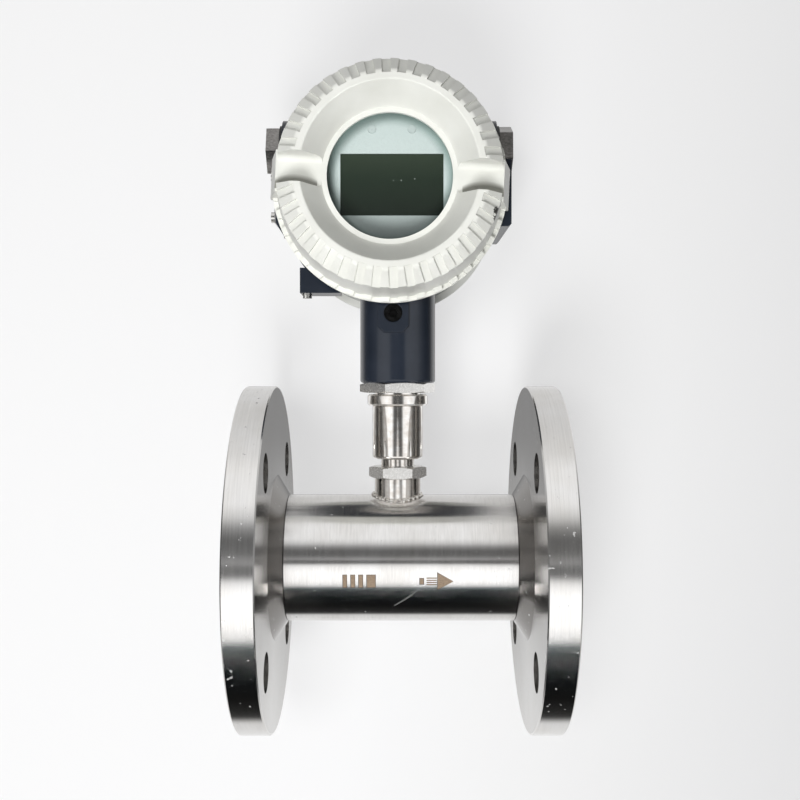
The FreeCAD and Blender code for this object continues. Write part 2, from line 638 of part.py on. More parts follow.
def housing():
    body = new_body("housing", HEAD)
    shell = "housing_dia / 2"
    ring = "spigot_ring_dia / 2"
    front_end = "(housing_front + front_spigot)"
    rear_end = "(housing_rear + rear_spigot)"
    turned(body, "XY_Plane", [("0", f"-{front_end}"), (ring, f"-{front_end}"),
                              (ring, "-housing_front"), (shell, "-housing_front"),
                              (shell, "housing_rear"), (ring, "housing_rear"), (ring, rear_end),
                              ("0", rear_end)], "V_Axis")
    neck_low = "neck_bottom - head_height"
    stem = ("head_shift", "0")
    extruded(body, "XY_Plane", [(stem, "neck_dia / 2")], f"-({neck_low})", shift=neck_low)
    rounded(body, "neck_corner", ring_edge(2, "neck_dia / 2", neck_low))
    rounded(body, "neck_fillet", neck_joint)
    root = "pad_root"
    left = [(f"-{root}", "pad_top"), ("-left_pad_reach", "pad_top"),
            ("-left_pad_reach", "gusset_rise - pad_bottom"),
            ("-gusset_reach", "-earth_top"), (f"-{root}", "-earth_top")]
    right = [(root, "-pad_bottom"), ("right_pad_reach - pad_corner", "-pad_bottom"),
             ("right_pad_reach", "pad_corner - pad_bottom"), ("right_pad_reach", "pad_top"),
             (root, "pad_top")]
    for edges in (left, right):
        extruded(body, "XZ_Plane", [edges], "pad_front + housing_rear", shift="-housing_rear")
    extruded(body, "YZ_Plane", [(("entry_depth", "entry_height"), "entry_dia / 2")],
             "left_entry_reach + right_entry_reach", shift="-left_entry_reach")
    extruded(body, "XZ_Plane", [box_corners("-earth_reach", "-earth_inner", "-earth_bottom",
                                            "-earth_top")],
             "earth_front + earth_back", shift="-earth_back")
    boss_low = "(lock_bottom - head_height)"
    boss_top = "lock_sink - housing_dia / 2"
    left_side = "(lock_place - lock_width / 2)"
    right_side = "(lock_place + lock_width / 2)"
    extruded(body, "XZ_Plane", [[(f"{left_side} + lock_corner", boss_low),
                                 (f"{right_side} - lock_corner", boss_low),
                                 (right_side, f"{boss_low} + lock_corner"), (right_side, boss_top),
                                 (left_side, boss_top),
                                 (left_side, f"{boss_low} + lock_corner")]], "lock_reach")
    hollow = "spigot_ring_bore / 2"
    turned(body, "XY_Plane", [("0", f"-{front_end} - {OVER}"), (hollow, f"-{front_end} - {OVER}"),
                              (hollow, "wall_front"), ("0", "wall_front")], "V_Axis", cut=True)
    turned(body, "XY_Plane", [("0", "wall_front + wall_thickness"),
                              (hollow, "wall_front + wall_thickness"),
                              (hollow, f"{rear_end} + {OVER}"), ("0", f"{rear_end} + {OVER}")],
           "V_Axis", cut=True)
    extruded(body, "XY_Plane", [(stem, "spigot_dia / 2 + neck_play")],
             f"neck_bore_top - neck_bottom + {OVER}", cut=True, shift=f"{neck_low} - {OVER}")
    chamber_low = "(neck_bore_top - head_height)"
    extruded(body, "XY_Plane", [(stem, "chamber_dia / 2")],
             f"chamber_drop - spigot_ring_bore / 2 - {chamber_low}", cut=True, shift=chamber_low)
    for reach, shift in (("right_entry_reach", "entry_bore_end"),
                         ("left_entry_reach", f"-left_entry_reach - {OVER}")):
        extruded(body, "YZ_Plane", [(("entry_depth", "entry_height"), "entry_bore / 2")],
                 f"{reach} - entry_bore_end + {OVER}", cut=True, shift=shift)
    extruded(body, "XZ_Plane", [(("lock_place", "lock_height - head_height"), "lock_hole_dia / 2")],
             f"lock_reach - spigot_dia / 2 + {OVER}", cut=True,
             shift="spigot_dia / 2")
    extruded(body, "XZ_Plane", [(("0", "wire_hole_place"), "wire_hole_dia / 2")],
             f"wall_thickness + 2 * {OVER}", cut=True, shift=f"-wall_front - wall_thickness - {OVER}")
    extruded(body, "YZ_Plane", [(place, "plate_screw_dia / 2 + screw_play") for place in plate_holes()],
             f"plate_screw_length + {OVER}", cut=True, shift="-left_pad_reach")
    extruded(body, "XY_Plane", [(("-earth_screw_place", "0"), "earth_screw_dia / 2 + screw_play")],
             f"earth_screw_length + {OVER}", cut=True, shift="-earth_bottom")
    return body


def plate_holes():
    near = "plate_screw_inset - pad_front"
    far = "housing_rear - plate_screw_inset"
    return [(place, rise) for place in (near, far)
            for rise in ("plate_screw_rise", "-plate_screw_drop")]


def housing_lock_screw():
    body = new_body("housing_lock_screw", HEAD)
    place = ("lock_place", "lock_height - head_height")
    tip = "(spigot_dia / 2 + lock_screw_tip)"
    extruded(body, "XZ_Plane", [(place, "lock_screw_dia / 2")], f"lock_screw_face - {tip}",
             shift=tip)
    extruded(body, "XZ_Plane", [hex_corners("lock_key_flats", "0", place)],
             f"lock_key_depth + {OVER}", cut=True, shift="lock_screw_face - lock_key_depth")
    return body


# Covers

SIDE_RADIUS = "(spigot_ring_dia / 2 + cover_wall)"
LIP_RADIUS = f"({SIDE_RADIUS} + lip_step)"
SHOULDER_RADIUS = f"({SIDE_RADIUS} - shoulder_step)"
CREST_BORE = "(crest_dia / 2 - crest_width)"


def cover(name, front):
    # depths are measured from the stem axis outwards, and the rear cover turns them round
    body = new_body(name, HEAD)
    body.Placement.Rotation = FreeCAD.Rotation(FreeCAD.Vector(0, 1, 0), 1)
    bind(body, "Placement.Rotation.Angle", "cover_turn")
    sign = "-" if front else ""
    lip = "(housing_front + cover_play)" if front else "(housing_rear + cover_play)"
    crest = "front_crest" if front else "rear_crest"
    ring = "(spigot_ring_dia / 2 + cover_play)"
    recess = "(spigot_ring_dia / 2 + seal_section + 2 * seal_play)"
    if front:
        floor = "(front_crest - dish_depth)"
        dish = "dish_dia / 2"
        pocket = "(glass_dia / 2 + glass_play)"
        hollow = [(ring, "bore_end"), ("inner_step_dia / 2", "bore_end"),
                  ("inner_step_dia / 2", "inner_face"), (pocket, "inner_face"),
                  (pocket, f"{floor} - window_wall"), ("window_dia / 2", f"{floor} - window_wall"),
                  ("window_dia / 2", f"{floor} + {OVER}"), ("0", f"{floor} + {OVER}")]
    else:
        floor = "(rear_crest - rear_dish_depth)"
        dish = "rear_dish_dia / 2"
        end = "(housing_rear + rear_spigot + rear_end_gap)"
        room = "(spigot_ring_bore / 2 - rear_room_step)"
        hollow = [(ring, end), (room, end), (room, f"{crest} - shoulder_drop - rear_room_slope"),
                  (CREST_BORE, f"{floor} - rear_end_wall"), ("0", f"{floor} - rear_end_wall")]
    outside = [("0", lip), (LIP_RADIUS, lip), (LIP_RADIUS, f"{lip} + lip_length"),
               (SIDE_RADIUS, f"{lip} + lip_length"), (SHOULDER_RADIUS, f"{crest} - shoulder_drop"),
               ("crest_dia / 2", crest), (CREST_BORE, crest), (dish, floor), ("0", floor)]
    mouth = [("0", f"{lip} - {OVER}"), (recess, f"{lip} - {OVER}"),
             (recess, f"{lip} + seal_recess_depth"), (ring, f"{lip} + seal_recess_depth")]
    turned(body, "XY_Plane", [(size, f"{sign}({depth})") for size, depth in outside], "V_Axis")
    rounded(body, "crest_corner", ring_edge(1, "crest_dia / 2", f"{sign}{crest}"))
    rounded(body, "crest_inner_corner", ring_edge(1, CREST_BORE, f"{sign}{crest}"))
    cut_troughs(body, sign, floor, crest)
    add_side_pads(body, sign, lip, floor)
    turned(body, "XY_Plane", [(size, f"{sign}({depth})") for size, depth in mouth + hollow],
           "V_Axis", cut=True)
    cut_notches(body, sign, crest)
    add_teeth(body, sign, lip)
    return body


def cut_troughs(body, sign, floor, crest):
    wide = "trough_width / 2"
    out = f"{sign}({crest} + {OVER})"
    base = f"{sign}{floor}"
    rise = f"{sign}({floor} + trough_corner)"
    bulge = 1 if sign == "-" else -1
    corners = [(out, wide), (rise, wide, "trough_corner", -bulge), (base, f"{wide} - trough_corner"),
               (base, f"trough_corner - {wide}", "trough_corner", -bulge), (rise, f"-{wide}"),
               (out, f"-{wide}")]
    extruded(body, "YZ_Plane", [corners], f"2 * {LIP_RADIUS} + 2 * {OVER}", cut=True, both=True)


def add_side_pads(body, sign, lip, floor):
    # a pad at each end of the trough, from the dish floor's depth out to the lip
    root = f"({SHOULDER_RADIUS} - side_pad_root)"
    back = f"({LIP_RADIUS} + side_pad_rise)"
    front = f"({SHOULDER_RADIUS} + side_pad_front)"
    outline = [(root, lip), (back, lip), (back, f"{lip} + lip_length"), (front, floor), (root, floor)]
    for side in ("-", ""):
        corners = [(f"{side}{reach}", f"{sign}({depth})") for reach, depth in outline]
        extruded(body, "XY_Plane", [corners], "side_pad_height", both=True)


def cut_notches(body, sign, crest):
    # one slot along the sloping shoulder, half a step from the trough's line, and a ring of it
    top = "(crest_dia / 2 - notch_bite)"
    bottom = f"({crest} + notch_bite - notch_depth * sqrt(2))"
    run = f"({LIP_RADIUS} - crest_dia / 2)"
    corners = [(f"{sign}({crest} + {OVER})", top), (f"{sign}{bottom}", top),
               (f"{sign}({bottom} - {run})", f"{top} + {run}"),
               (f"{sign}({crest} + {OVER})", f"{top} + {run}")]
    slot = extruded(body, "YZ_Plane", [corners], "notch_width", cut=True, both=True,
                    lean="180 / notch_count")
    around(body, slot, "Y_Axis", "notch_count", cut=True)


def add_teeth(body, sign, lip):
    base = f"{SIDE_RADIUS} - tooth_root"
    tip = f"{SIDE_RADIUS} + tooth_rise"
    corners = [("-tooth_base / 2", base), ("tooth_base / 2", base), ("tooth_tip / 2", tip),
               ("-tooth_tip / 2", tip)]
    start = f"({lip} + lip_length)"
    shift = start if sign == "-" else f"-{start} - tooth_length"
    tooth = extruded(body, "XZ_Plane", [corners], "tooth_length", shift=shift)
    around(body, tooth, "Y_Axis", "notch_count")


def seal_ring(name, sign, depth):
    ring = doc.addObject("Part::Torus", name)
    ring.Label = name
    bind(ring, "Radius1", "spigot_ring_dia / 2 + seal_play + seal_section / 2")
    bind(ring, "Radius2", "seal_section / 2")
    ring.Placement.Rotation = FreeCAD.Rotation(FreeCAD.Vector(1, 0, 0), 90)
    bind(ring, "Placement.Base.x", HEAD_PLACE)
    bind(ring, "Placement.Base.y", f"{sign}({depth} + seal_section / 2 + cover_play)")
    bind(ring, "Placement.Base.z", "head_height")
    return ring


def disc(name, outer, near, far, inner="0"):
    # a disc or ring on the head's axis, near and far measured towards the front
    body = new_body(name, HEAD)
    turned(body, "XY_Plane", [(inner, f"-({near})"), (outer, f"-({near})"), (outer, f"-({far})"),
                              (inner, f"-({far})")], "V_Axis")
    return body


def window():
    floor = "(front_crest - dish_depth - window_wall)"
    glass_front = f"({floor} - gasket_thickness)"
    glass_back = f"({glass_front} - glass_thickness)"
    gasket = disc("window_gasket", "glass_dia / 2", floor, glass_front,
                  "window_dia / 2 + gasket_lip")
    glass = disc("window_glass", "glass_dia / 2", glass_front, glass_back)
    ring = disc("window_retaining_ring", "glass_dia / 2", glass_back,
                f"{glass_back} - glass_ring_thickness", "glass_ring_bore / 2")
    return [gasket, glass, ring]


# Display, boards, terminals

BEZEL_BACK = "(bezel_face - bezel_thickness)"
BOARD_FRONT = "(bezel_face - bezel_thickness - lcd_depth)"
KEY_RISE = "(key_rise - lcd_drop)"
KEY_SIDES = ("(panel_shift - key_spread)", "(panel_shift + key_spread)")


def display_bezel():
    body = disc("display_bezel", "bezel_dia / 2", "bezel_face", BEZEL_BACK)
    half_wide = "lcd_width / 2"
    low = "(-lcd_drop - lcd_height / 2)"
    high = "(lcd_height / 2 - lcd_drop)"
    extruded(body, "XZ_Plane", [box_corners(f"panel_shift - {half_wide}", f"panel_shift + {half_wide}",
                                            low, high)]
             + [((side, KEY_RISE), "key_dia / 2 + key_play") for side in KEY_SIDES],
             f"bezel_thickness + {OVER}", cut=True, shift=BEZEL_BACK)
    return body


def lcd_panel():
    body = new_body("lcd_panel", HEAD)
    half_wide = "(lcd_width / 2 - lcd_play)"
    half_high = "(lcd_height / 2 - lcd_play)"
    extruded(body, "XZ_Plane", [box_corners(
        f"panel_shift - {half_wide} - lcd_border", f"panel_shift + {half_wide} + lcd_border",
        f"-lcd_drop - {half_high} - lcd_border", f"-lcd_drop + {half_high} + lcd_border")],
        f"{BEZEL_BACK} - {BOARD_FRONT}", shift=BOARD_FRONT)
    extruded(body, "XZ_Plane", [box_corners(f"panel_shift - {half_wide}", f"panel_shift + {half_wide}",
                                            f"-lcd_drop - {half_high}", f"{half_high} - lcd_drop")],
             "bezel_thickness - lcd_set_back", shift=BEZEL_BACK)
    return body


def keys():
    made = []
    switch_top = f"({BOARD_FRONT} + switch_height)"
    for name, side in zip(("key_left", "key_right"), KEY_SIDES):
        body = new_body(name, HEAD)
        start = f"{switch_top} + key_travel"
        extruded(body, "XZ_Plane", [((side, KEY_RISE), "key_dia / 2")],
                 f"bezel_face + key_stand - ({start})", shift=start)
        made.append(body)
    switches = new_body("key_switches", HEAD)
    half = "switch_size / 2"
    extruded(switches, "XZ_Plane", [
        box_corners(f"{side} - {half}", f"{side} + {half}", f"{KEY_RISE} - {half}",
                    f"{KEY_RISE} + {half}") for side in KEY_SIDES],
        "switch_height", shift=BOARD_FRONT)
    return made + [switches]


def boards():
    display = disc("display_board", "display_board_dia / 2", BOARD_FRONT,
                   f"{BOARD_FRONT} - board_thickness")
    main = disc("main_board", "main_board_dia / 2", "main_board_place + board_thickness",
                "main_board_place")
    display_back = f"({BOARD_FRONT} - board_thickness)"
    main_front = "(main_board_place + board_thickness)"
    upper = pillars("display_standoffs", main_front, f"{display_back} - {main_front}")
    lower = pillars("board_standoffs", "-wall_front", "main_board_place + wall_front")
    return [display, main, upper, lower]


def pillars(name, start, length):
    body = new_body(name, HEAD)
    reach = "(pillar_circle / 2 * sqrt(0.5))"
    places = [(f"{side}{reach}", f"{up}{reach}") for side in ("-", "") for up in ("-", "")]
    extruded(body, "XZ_Plane", [hex_corners("pillar_flats", "0", place) for place in places],
             length, shift=start)
    return body


def lead_ends():
    plug = new_body("lead_connector", HEAD)
    low = "-plug_bottom"
    high = "plug_height - plug_bottom"
    extruded(plug, "XZ_Plane", [box_corners("head_shift - plug_width / 2",
                                            "head_shift + plug_width / 2", low, high)],
             "plug_depth", both=True)
    socket = new_body("lead_socket", HEAD)
    extruded(socket, "XZ_Plane", [box_corners("head_shift - socket_width / 2",
                                              "head_shift + socket_width / 2",
                                              f"{low} + socket_rise", f"{high} + socket_rise")],
             "main_board_place - plug_depth / 2", shift="plug_depth / 2")
    return [plug, socket]


def terminal_block():
    body = new_body("terminal_block", HEAD)
    wall = "(wall_front + wall_thickness)"
    low = "-terminal_place"
    high = "terminal_height - terminal_place"
    half = "terminal_width / 2"
    extruded(body, "XZ_Plane", [box_corners(f"-{half}", half, low, high)], "terminal_depth",
             shift=f"-{wall} - terminal_depth")
    first = "-terminal_pitch * (terminal_count - 1) / 2"
    row = "terminal_pitch * (terminal_count - 1)"
    middle = f"({low} + {high}) / 2"
    face = f"({wall} + terminal_depth)"
    well = extruded(body, "XZ_Plane", [((first, middle), "terminal_screw_dia / 2 + screw_play")],
                    f"terminal_well + {OVER}", cut=True, shift=f"-{face} - {OVER}")
    in_a_row(body, well, "X_Axis", "terminal_count", row, cut=True)
    wire = extruded(body, "XY_Plane", [((first, f"{wall} + terminal_depth / 3"),
                                        "terminal_wire_dia / 2")], "terminal_height / 3",
                    cut=True, shift=low)
    in_a_row(body, wire, "X_Axis", "terminal_count", row, cut=True)
    return body


def terminal_screws():
    body = new_body("terminal_screws", HEAD)
    face = "(wall_front + wall_thickness + terminal_depth)"
    middle = "(terminal_height / 2 - terminal_place)"
    first = "(-terminal_pitch * (terminal_count - 1) / 2)"
    row = "terminal_pitch * (terminal_count - 1)"
    head = extruded(body, "XZ_Plane", [((first, middle), "terminal_screw_dia / 2")],
                    "terminal_well - terminal_screw_drop", shift=f"terminal_screw_drop - {face}")
    in_a_row(body, head, "X_Axis", "terminal_count", row)
    half = "terminal_slot / 2"
    slot = extruded(body, "XZ_Plane", [box_corners(
        f"{first} - terminal_screw_dia", f"{first} + terminal_pitch * terminal_count",
        f"{middle} - {half}", f"{middle} + {half}")], f"terminal_slot_depth + {OVER}", cut=True,
        shift=f"terminal_screw_drop - {face} - {OVER}")
    return body


# Plugs, plate, earth screw

def conduit_plug(name, side):
    # the hexagon stands off the entry by its washer, and the shank fills the bore
    body = new_body(name, HEAD)
    centre = ("entry_depth", "entry_height")
    face = f"({side}_entry_reach + plug_washer_thickness)"
    right = side == "right"
    turn = "plug_turn_right" if right else "plug_turn_left"
    head_shift = face if right else f"-{face} - plug_head"
    shank_shift = f"{face} - plug_shank - plug_washer_thickness" if right else f"-{face}"
    extruded(body, "YZ_Plane", [hex_corners("plug_flats", turn, centre)], "plug_head",
             shift=head_shift)
    extruded(body, "YZ_Plane", [(centre, "entry_bore / 2 - plug_play")],
             "plug_shank + plug_washer_thickness", shift=shank_shift)
    return body


def plug_washers():
    body = new_body("plug_washers", HEAD)
    centre = ("entry_depth", "entry_height")
    for shift in ("right_entry_reach", "-left_entry_reach - plug_washer_thickness"):
        extruded(body, "YZ_Plane", [(centre, "plug_washer_dia / 2"),
                                    (centre, "entry_bore / 2 + plug_play")],
                 "plug_washer_thickness", shift=shift)
    return body


def nameplate():
    body = new_body("nameplate", HEAD)
    corners = box_corners("plate_margin - pad_front", "housing_rear - plate_margin",
                          "-plate_screw_drop - plate_foot", "pad_top - plate_margin")
    holes = [(place, "plate_screw_dia / 2 + screw_play") for place in plate_holes()]
    extruded(body, "YZ_Plane", [corners] + holes, "plate_thickness",
             shift="-left_pad_reach - plate_thickness")
    return body


def nameplate_screws():
    body = new_body("nameplate_screws", HEAD)
    face = "(-left_pad_reach - plate_thickness)"
    extruded(body, "YZ_Plane", [(place, "plate_head_dia / 2") for place in plate_holes()],
             "plate_head_height", shift=f"{face} - plate_head_height")
    extruded(body, "YZ_Plane", [(place, "plate_screw_dia / 2") for place in plate_holes()],
             "plate_screw_length + plate_thickness", shift=face)
    return body


def earth_screw():
    place = ("-earth_screw_place", "0")
    body = new_body("ground_screw", HEAD)
    top = "(-earth_bottom - earth_washer_thickness)"
    extruded(body, "XY_Plane", [(place, "earth_head_dia / 2")], "earth_head_height",
             shift=f"{top} - earth_head_height")
    extruded(body, "XY_Plane", [(place, "earth_screw_dia / 2")],
             "earth_screw_length + earth_washer_thickness", shift=top)
    half = "screw_slot_width / 2"
    extruded(body, "XY_Plane", [box_corners("-earth_screw_place - earth_head_dia",
                                            "earth_head_dia - earth_screw_place",
                                            f"-{half}", half)],
             f"screw_slot_depth + {OVER}", cut=True,
             shift=f"{top} - earth_head_height - {OVER}")
    washer = new_body("ground_washer", HEAD)
    extruded(washer, "XY_Plane", [(place, "earth_washer_dia / 2"),
                                  (place, "earth_screw_dia / 2 + screw_play")],
             "earth_washer_thickness", shift=top)
    return [body, washer]


def make_all():
    made = [meter_tube(), sensor_boss(), boss_weld_bead(), thrust_washers(), rotor_shaft(), rotor()]
    for side in ("inlet", "outlet"):
        made += [flange(side), retaining_ring(side), diffuser(side), bearing(side)]
    made += [pickup_body(), pickup_cap(), swivel_clip()] + pickup_insides()
    made.append(hex_nut("pickup_lock_nut", (STEM_PLACE, "0", "pickup_nut_bottom"), "pickup_nut_flats",
                        "pickup_nut_height", "thread_dia / 2 + thread_play", "pickup_nut_slope"))
    made.append(hex_nut("neck_lock_nut", (STEM_PLACE, "0", "neck_nut_bottom"), "neck_nut_flats",
                        "neck_nut_height", "spigot_dia / 2 + thread_play", "neck_nut_slope",
                        "neck_nut_turn"))
    made += [housing(), housing_lock_screw(), cover("front_cover", True), cover("rear_cover", False)]
    made += [seal_ring("front_cover_seal", "-", "housing_front"),
             seal_ring("rear_cover_seal", "", "housing_rear")]
    made += window() + [display_bezel(), lcd_panel()] + keys() + boards() + lead_ends()
    made += [terminal_block(), terminal_screws(), conduit_plug("conduit_plug_left", "left"),
             conduit_plug("conduit_plug_right", "right"), plug_washers(), nameplate(),
             nameplate_screws()] + earth_screw()
    return made


def check_all(made):
    doc.recompute()
    for thing in doc.Objects:
        if "Invalid" in thing.State or "Error" in thing.State:
            raise RuntimeError(f"{thing.Label} failed: {thing.State}")
    for piece in made:
        if piece.Shape.isNull() or not piece.Shape.isValid():
            raise RuntimeError(f"{piece.Label} has no valid shape")


def write_all(made):
    os.makedirs("parts", exist_ok=True)
    for piece in made:
        piece.Shape.exportStep(f"parts/{piece.Label}.step")
        box = piece.Shape.optimalBoundingBox(False, False)
        print(piece.Label, len(piece.Shape.Solids), round(piece.Shape.Volume, 1),
              [round(edge, 2) for edge in (box.XMin, box.XMax, box.YMin, box.YMax, box.ZMin, box.ZMax)])
    print(len(made), "pieces written")


pieces = make_all()
check_all(pieces)
write_all(pieces)
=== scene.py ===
# Turbine flow meter: the looks. Metres, +X along the flow, +Z up the stem, the display faces -Y.
import json
import math
import bpy
import numpy as np
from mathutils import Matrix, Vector


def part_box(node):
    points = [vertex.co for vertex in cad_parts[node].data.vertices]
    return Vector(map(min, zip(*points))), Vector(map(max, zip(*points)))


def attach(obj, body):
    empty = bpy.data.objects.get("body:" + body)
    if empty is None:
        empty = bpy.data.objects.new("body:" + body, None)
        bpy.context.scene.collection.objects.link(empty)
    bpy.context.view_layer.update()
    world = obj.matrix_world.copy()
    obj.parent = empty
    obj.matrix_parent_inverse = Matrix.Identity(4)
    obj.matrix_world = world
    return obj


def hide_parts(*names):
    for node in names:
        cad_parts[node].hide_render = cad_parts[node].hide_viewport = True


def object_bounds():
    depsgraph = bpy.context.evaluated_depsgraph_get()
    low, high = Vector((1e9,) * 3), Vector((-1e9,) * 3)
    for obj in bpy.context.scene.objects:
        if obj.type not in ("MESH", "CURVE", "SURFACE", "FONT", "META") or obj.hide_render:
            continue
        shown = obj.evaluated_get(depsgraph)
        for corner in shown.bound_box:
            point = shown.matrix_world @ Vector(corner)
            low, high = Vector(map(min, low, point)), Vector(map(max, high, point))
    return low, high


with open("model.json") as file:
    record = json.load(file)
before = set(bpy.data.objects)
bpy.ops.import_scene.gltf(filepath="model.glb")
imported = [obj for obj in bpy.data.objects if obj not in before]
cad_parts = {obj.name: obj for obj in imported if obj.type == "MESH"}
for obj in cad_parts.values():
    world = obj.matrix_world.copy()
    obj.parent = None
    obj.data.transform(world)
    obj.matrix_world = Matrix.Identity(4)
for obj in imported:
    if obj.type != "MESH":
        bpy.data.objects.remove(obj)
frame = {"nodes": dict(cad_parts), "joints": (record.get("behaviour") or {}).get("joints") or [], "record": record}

cadBox = [list(corner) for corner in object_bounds()]
nodes = frame["nodes"]
recordMounts = {mount["name"]: mount for mount in frame["record"]["mounts"]}
joints = {joint["name"]: joint for joint in frame["joints"]}

middleX = recordMounts["outlet_bolts"]["pos_m"][0] / 2          # the stem's place along the tube
headX, _, headZ = joints["front_cover_turn"]["pos_m"]           # the head's axis


# Camera, backdrop, lights

camera = {
    "focalPixels": 1067.0,      # focal length for a picture 800 pixels wide
    "distance": 0.5147,         # in front of the stem
    "height": 0.0841,           # above the pipe's axis
    "sideways": -0.0005,
    "pitch": -0.016,            # radians, looking slightly down
    "sensor": 36.0,
    "frameWidth": 800,
}


def makeCamera():
    data = bpy.data.cameras.new("photoCamera")
    data.sensor_width = camera["sensor"]
    data.lens = camera["sensor"] * camera["focalPixels"] / camera["frameWidth"]
    data.clip_start = 0.01
    data.clip_end = 50
    obj = bpy.data.objects.new("photoCamera", data)
    bpy.context.scene.collection.objects.link(obj)
    obj.location = (middleX + camera["sideways"], -camera["distance"], camera["height"])
    obj.rotation_euler = (math.pi / 2 + camera["pitch"], 0, 0)
    bpy.context.scene.camera = obj


def feed(tree, value, socket):
    # value is a socket to link, or a number or tuple to set
    if isinstance(value, bpy.types.NodeSocket):
        tree.links.new(value, socket)
    else:
        socket.default_value = value


def calc(tree, operation, first, second=0.0, third=0.0):
    made = tree.nodes.new("ShaderNodeMath")
    made.operation = operation
    for socket, value in zip(made.inputs, (first, second, third)):
        feed(tree, value, socket)
    return made.outputs[0]


def ramp(tree, value, stops, smooth="LINEAR"):
    # stops are (position, grey or colour)
    made = tree.nodes.new("ShaderNodeValToRGB")
    made.color_ramp.interpolation = smooth
    elements = made.color_ramp.elements
    while len(elements) < len(stops):
        elements.new(0.5)
    for element, (place, colour) in zip(elements, stops):
        element.position = place
        element.color = (colour,) * 3 + (1,) if isinstance(colour, float) else tuple(colour) + (1,)
    feed(tree, value, made.inputs[0])
    return made.outputs[0]


def blendColour(tree, amount, first, second, mode="MIX"):
    made = tree.nodes.new("ShaderNodeMix")
    made.data_type = "RGBA"
    made.blend_type = mode
    feed(tree, amount, made.inputs[0])
    for value, socket in zip((first, second), made.inputs[6:8]):       # the two colour sockets
        feed(tree, value if isinstance(value, bpy.types.NodeSocket) else tuple(value) + (1,), socket)
    return made.outputs[2]


studio = {
    # brightness round the room seen in polished metal, by angle in degrees from the camera's side:
    # up and over the top (positive) and down and under (negative)
    "upDown": [(-180, 0.35), (-172, 0.55), (-162, 0.90), (-140, 0.85), (-120, 0.78), (-112, 0.03),
               (-90, 0.006), (-60, (0.005, 0.008, 0.009)), (-54, (0.012, 0.017, 0.019)),
               (-48, (0.10, 0.13, 0.135)), (-43, 1.0), (-34, 1.40), (-18, 1.45), (-4, 1.15), (2, 0.75),
               (7, 0.30), (11, 0.14), (20, 0.13), (27, 0.30), (34, 0.75), (42, 1.0), (66, 1.0),
               (78, 0.85), (100, 0.75), (180, 0.75)],
    "leftRight": [(-180, 0.28), (-166, 0.32), (-152, 0.95), (-132, 0.85), (-118, 0.20), (-98, 0.04),
                  (-84, 0.12), (-70, 0.30), (-62, 1.05), (-42, 1.30), (-26, 1.20), (-19, 0.35),
                  (-14, 0.11), (14, 0.10), (20, 0.30), (26, 1.10), (40, 1.25), (62, 1.05), (72, 0.60),
                  (84, 0.22), (98, 0.06), (116, 0.20), (130, 1.0), (152, 1.0), (166, 0.32), (180, 0.28)],
    "levelWidth": 0.004,        # the left-right bands rule a belt this wide and this high round the room
    "levelHeight": 0.04,
    "levelFade": 3.0,
    "levelFloor": 0.001,        # keeps their share from a division by zero
    "levelBlend": [(0.25, 0.0), (0.75, 1.0)],
    "hot": [(0.64, -0.33, -0.694), (-0.64, -0.33, -0.694)],     # two lamps low to the sides
    "hotSize": 0.985,           # cosine of a hot lamp's half angle
    "hotLevel": 11.0,
    "diffuse": 0.17,            # plain level for matt surfaces
    "background": (0.93, 0.93, 0.935),
}


def aroundRoom(tree, sideways, forwards, bands):
    # the ramp of bands by the angle whose tangent is sideways over forwards
    angle = calc(tree, "ARCTAN2", sideways, forwards)
    place = calc(tree, "MULTIPLY_ADD", angle, 0.5 / math.pi, 0.5)
    return ramp(tree, place, [(degrees / 360 + 0.5, level) for degrees, level in bands])


def makeWorld():
    # polished metal sees the banded room, matt surfaces a plain level, the camera a pale background;
    # the left-right bands take over from the up-down ones near the level of the camera
    world = bpy.data.worlds.new("studio")
    bpy.context.scene.world = world
    world.use_nodes = True
    tree = world.node_tree
    tree.nodes.clear()
    gaze = tree.nodes.new("ShaderNodeTexCoord").outputs["Generated"]       # the ray's direction in a world
    axes = tree.nodes.new("ShaderNodeSeparateXYZ")
    tree.links.new(gaze, axes.inputs[0])
    towards = calc(tree, "MULTIPLY", axes.outputs[1], -1.0)
    vertical = aroundRoom(tree, axes.outputs[2], towards, studio["upDown"])
    level = aroundRoom(tree, axes.outputs[0], towards, studio["leftRight"])
    across = calc(tree, "ADD", calc(tree, "ABSOLUTE", axes.outputs[0]), studio["levelWidth"])
    height = calc(tree, "SUBTRACT", calc(tree, "ABSOLUTE", axes.outputs[2]), studio["levelHeight"])
    upward = calc(tree, "MULTIPLY", calc(tree, "MAXIMUM", height, 0.0), studio["levelFade"])
    both = calc(tree, "ADD", calc(tree, "ADD", across, upward), studio["levelFloor"])
    share = ramp(tree, calc(tree, "DIVIDE", across, both), studio["levelBlend"], "EASE")
    room = blendColour(tree, share, vertical, level)
    for aim in studio["hot"]:
        turn = tree.nodes.new("ShaderNodeVectorMath")
        turn.operation = "DOT_PRODUCT"
        tree.links.new(gaze, turn.inputs[0])
        turn.inputs[1].default_value = aim
        near = calc(tree, "GREATER_THAN", turn.outputs["Value"], studio["hotSize"])
        room = blendColour(tree, near, room, (studio["hotLevel"],) * 3)
    path = tree.nodes.new("ShaderNodeLightPath")
    plain = blendColour(tree, path.outputs["Is Glossy Ray"], (studio["diffuse"],) * 3, room)
    seen = calc(tree, "MAXIMUM", path.outputs["Is Camera Ray"], path.outputs["Is Transmission Ray"])
    shade = blendColour(tree, seen, plain, studio["background"])
    background = tree.nodes.new("ShaderNodeBackground")
    tree.links.new(shade, background.inputs[0])
    output = tree.nodes.new("ShaderNodeOutputWorld")
    tree.links.new(background.outputs[0], output.inputs[0])


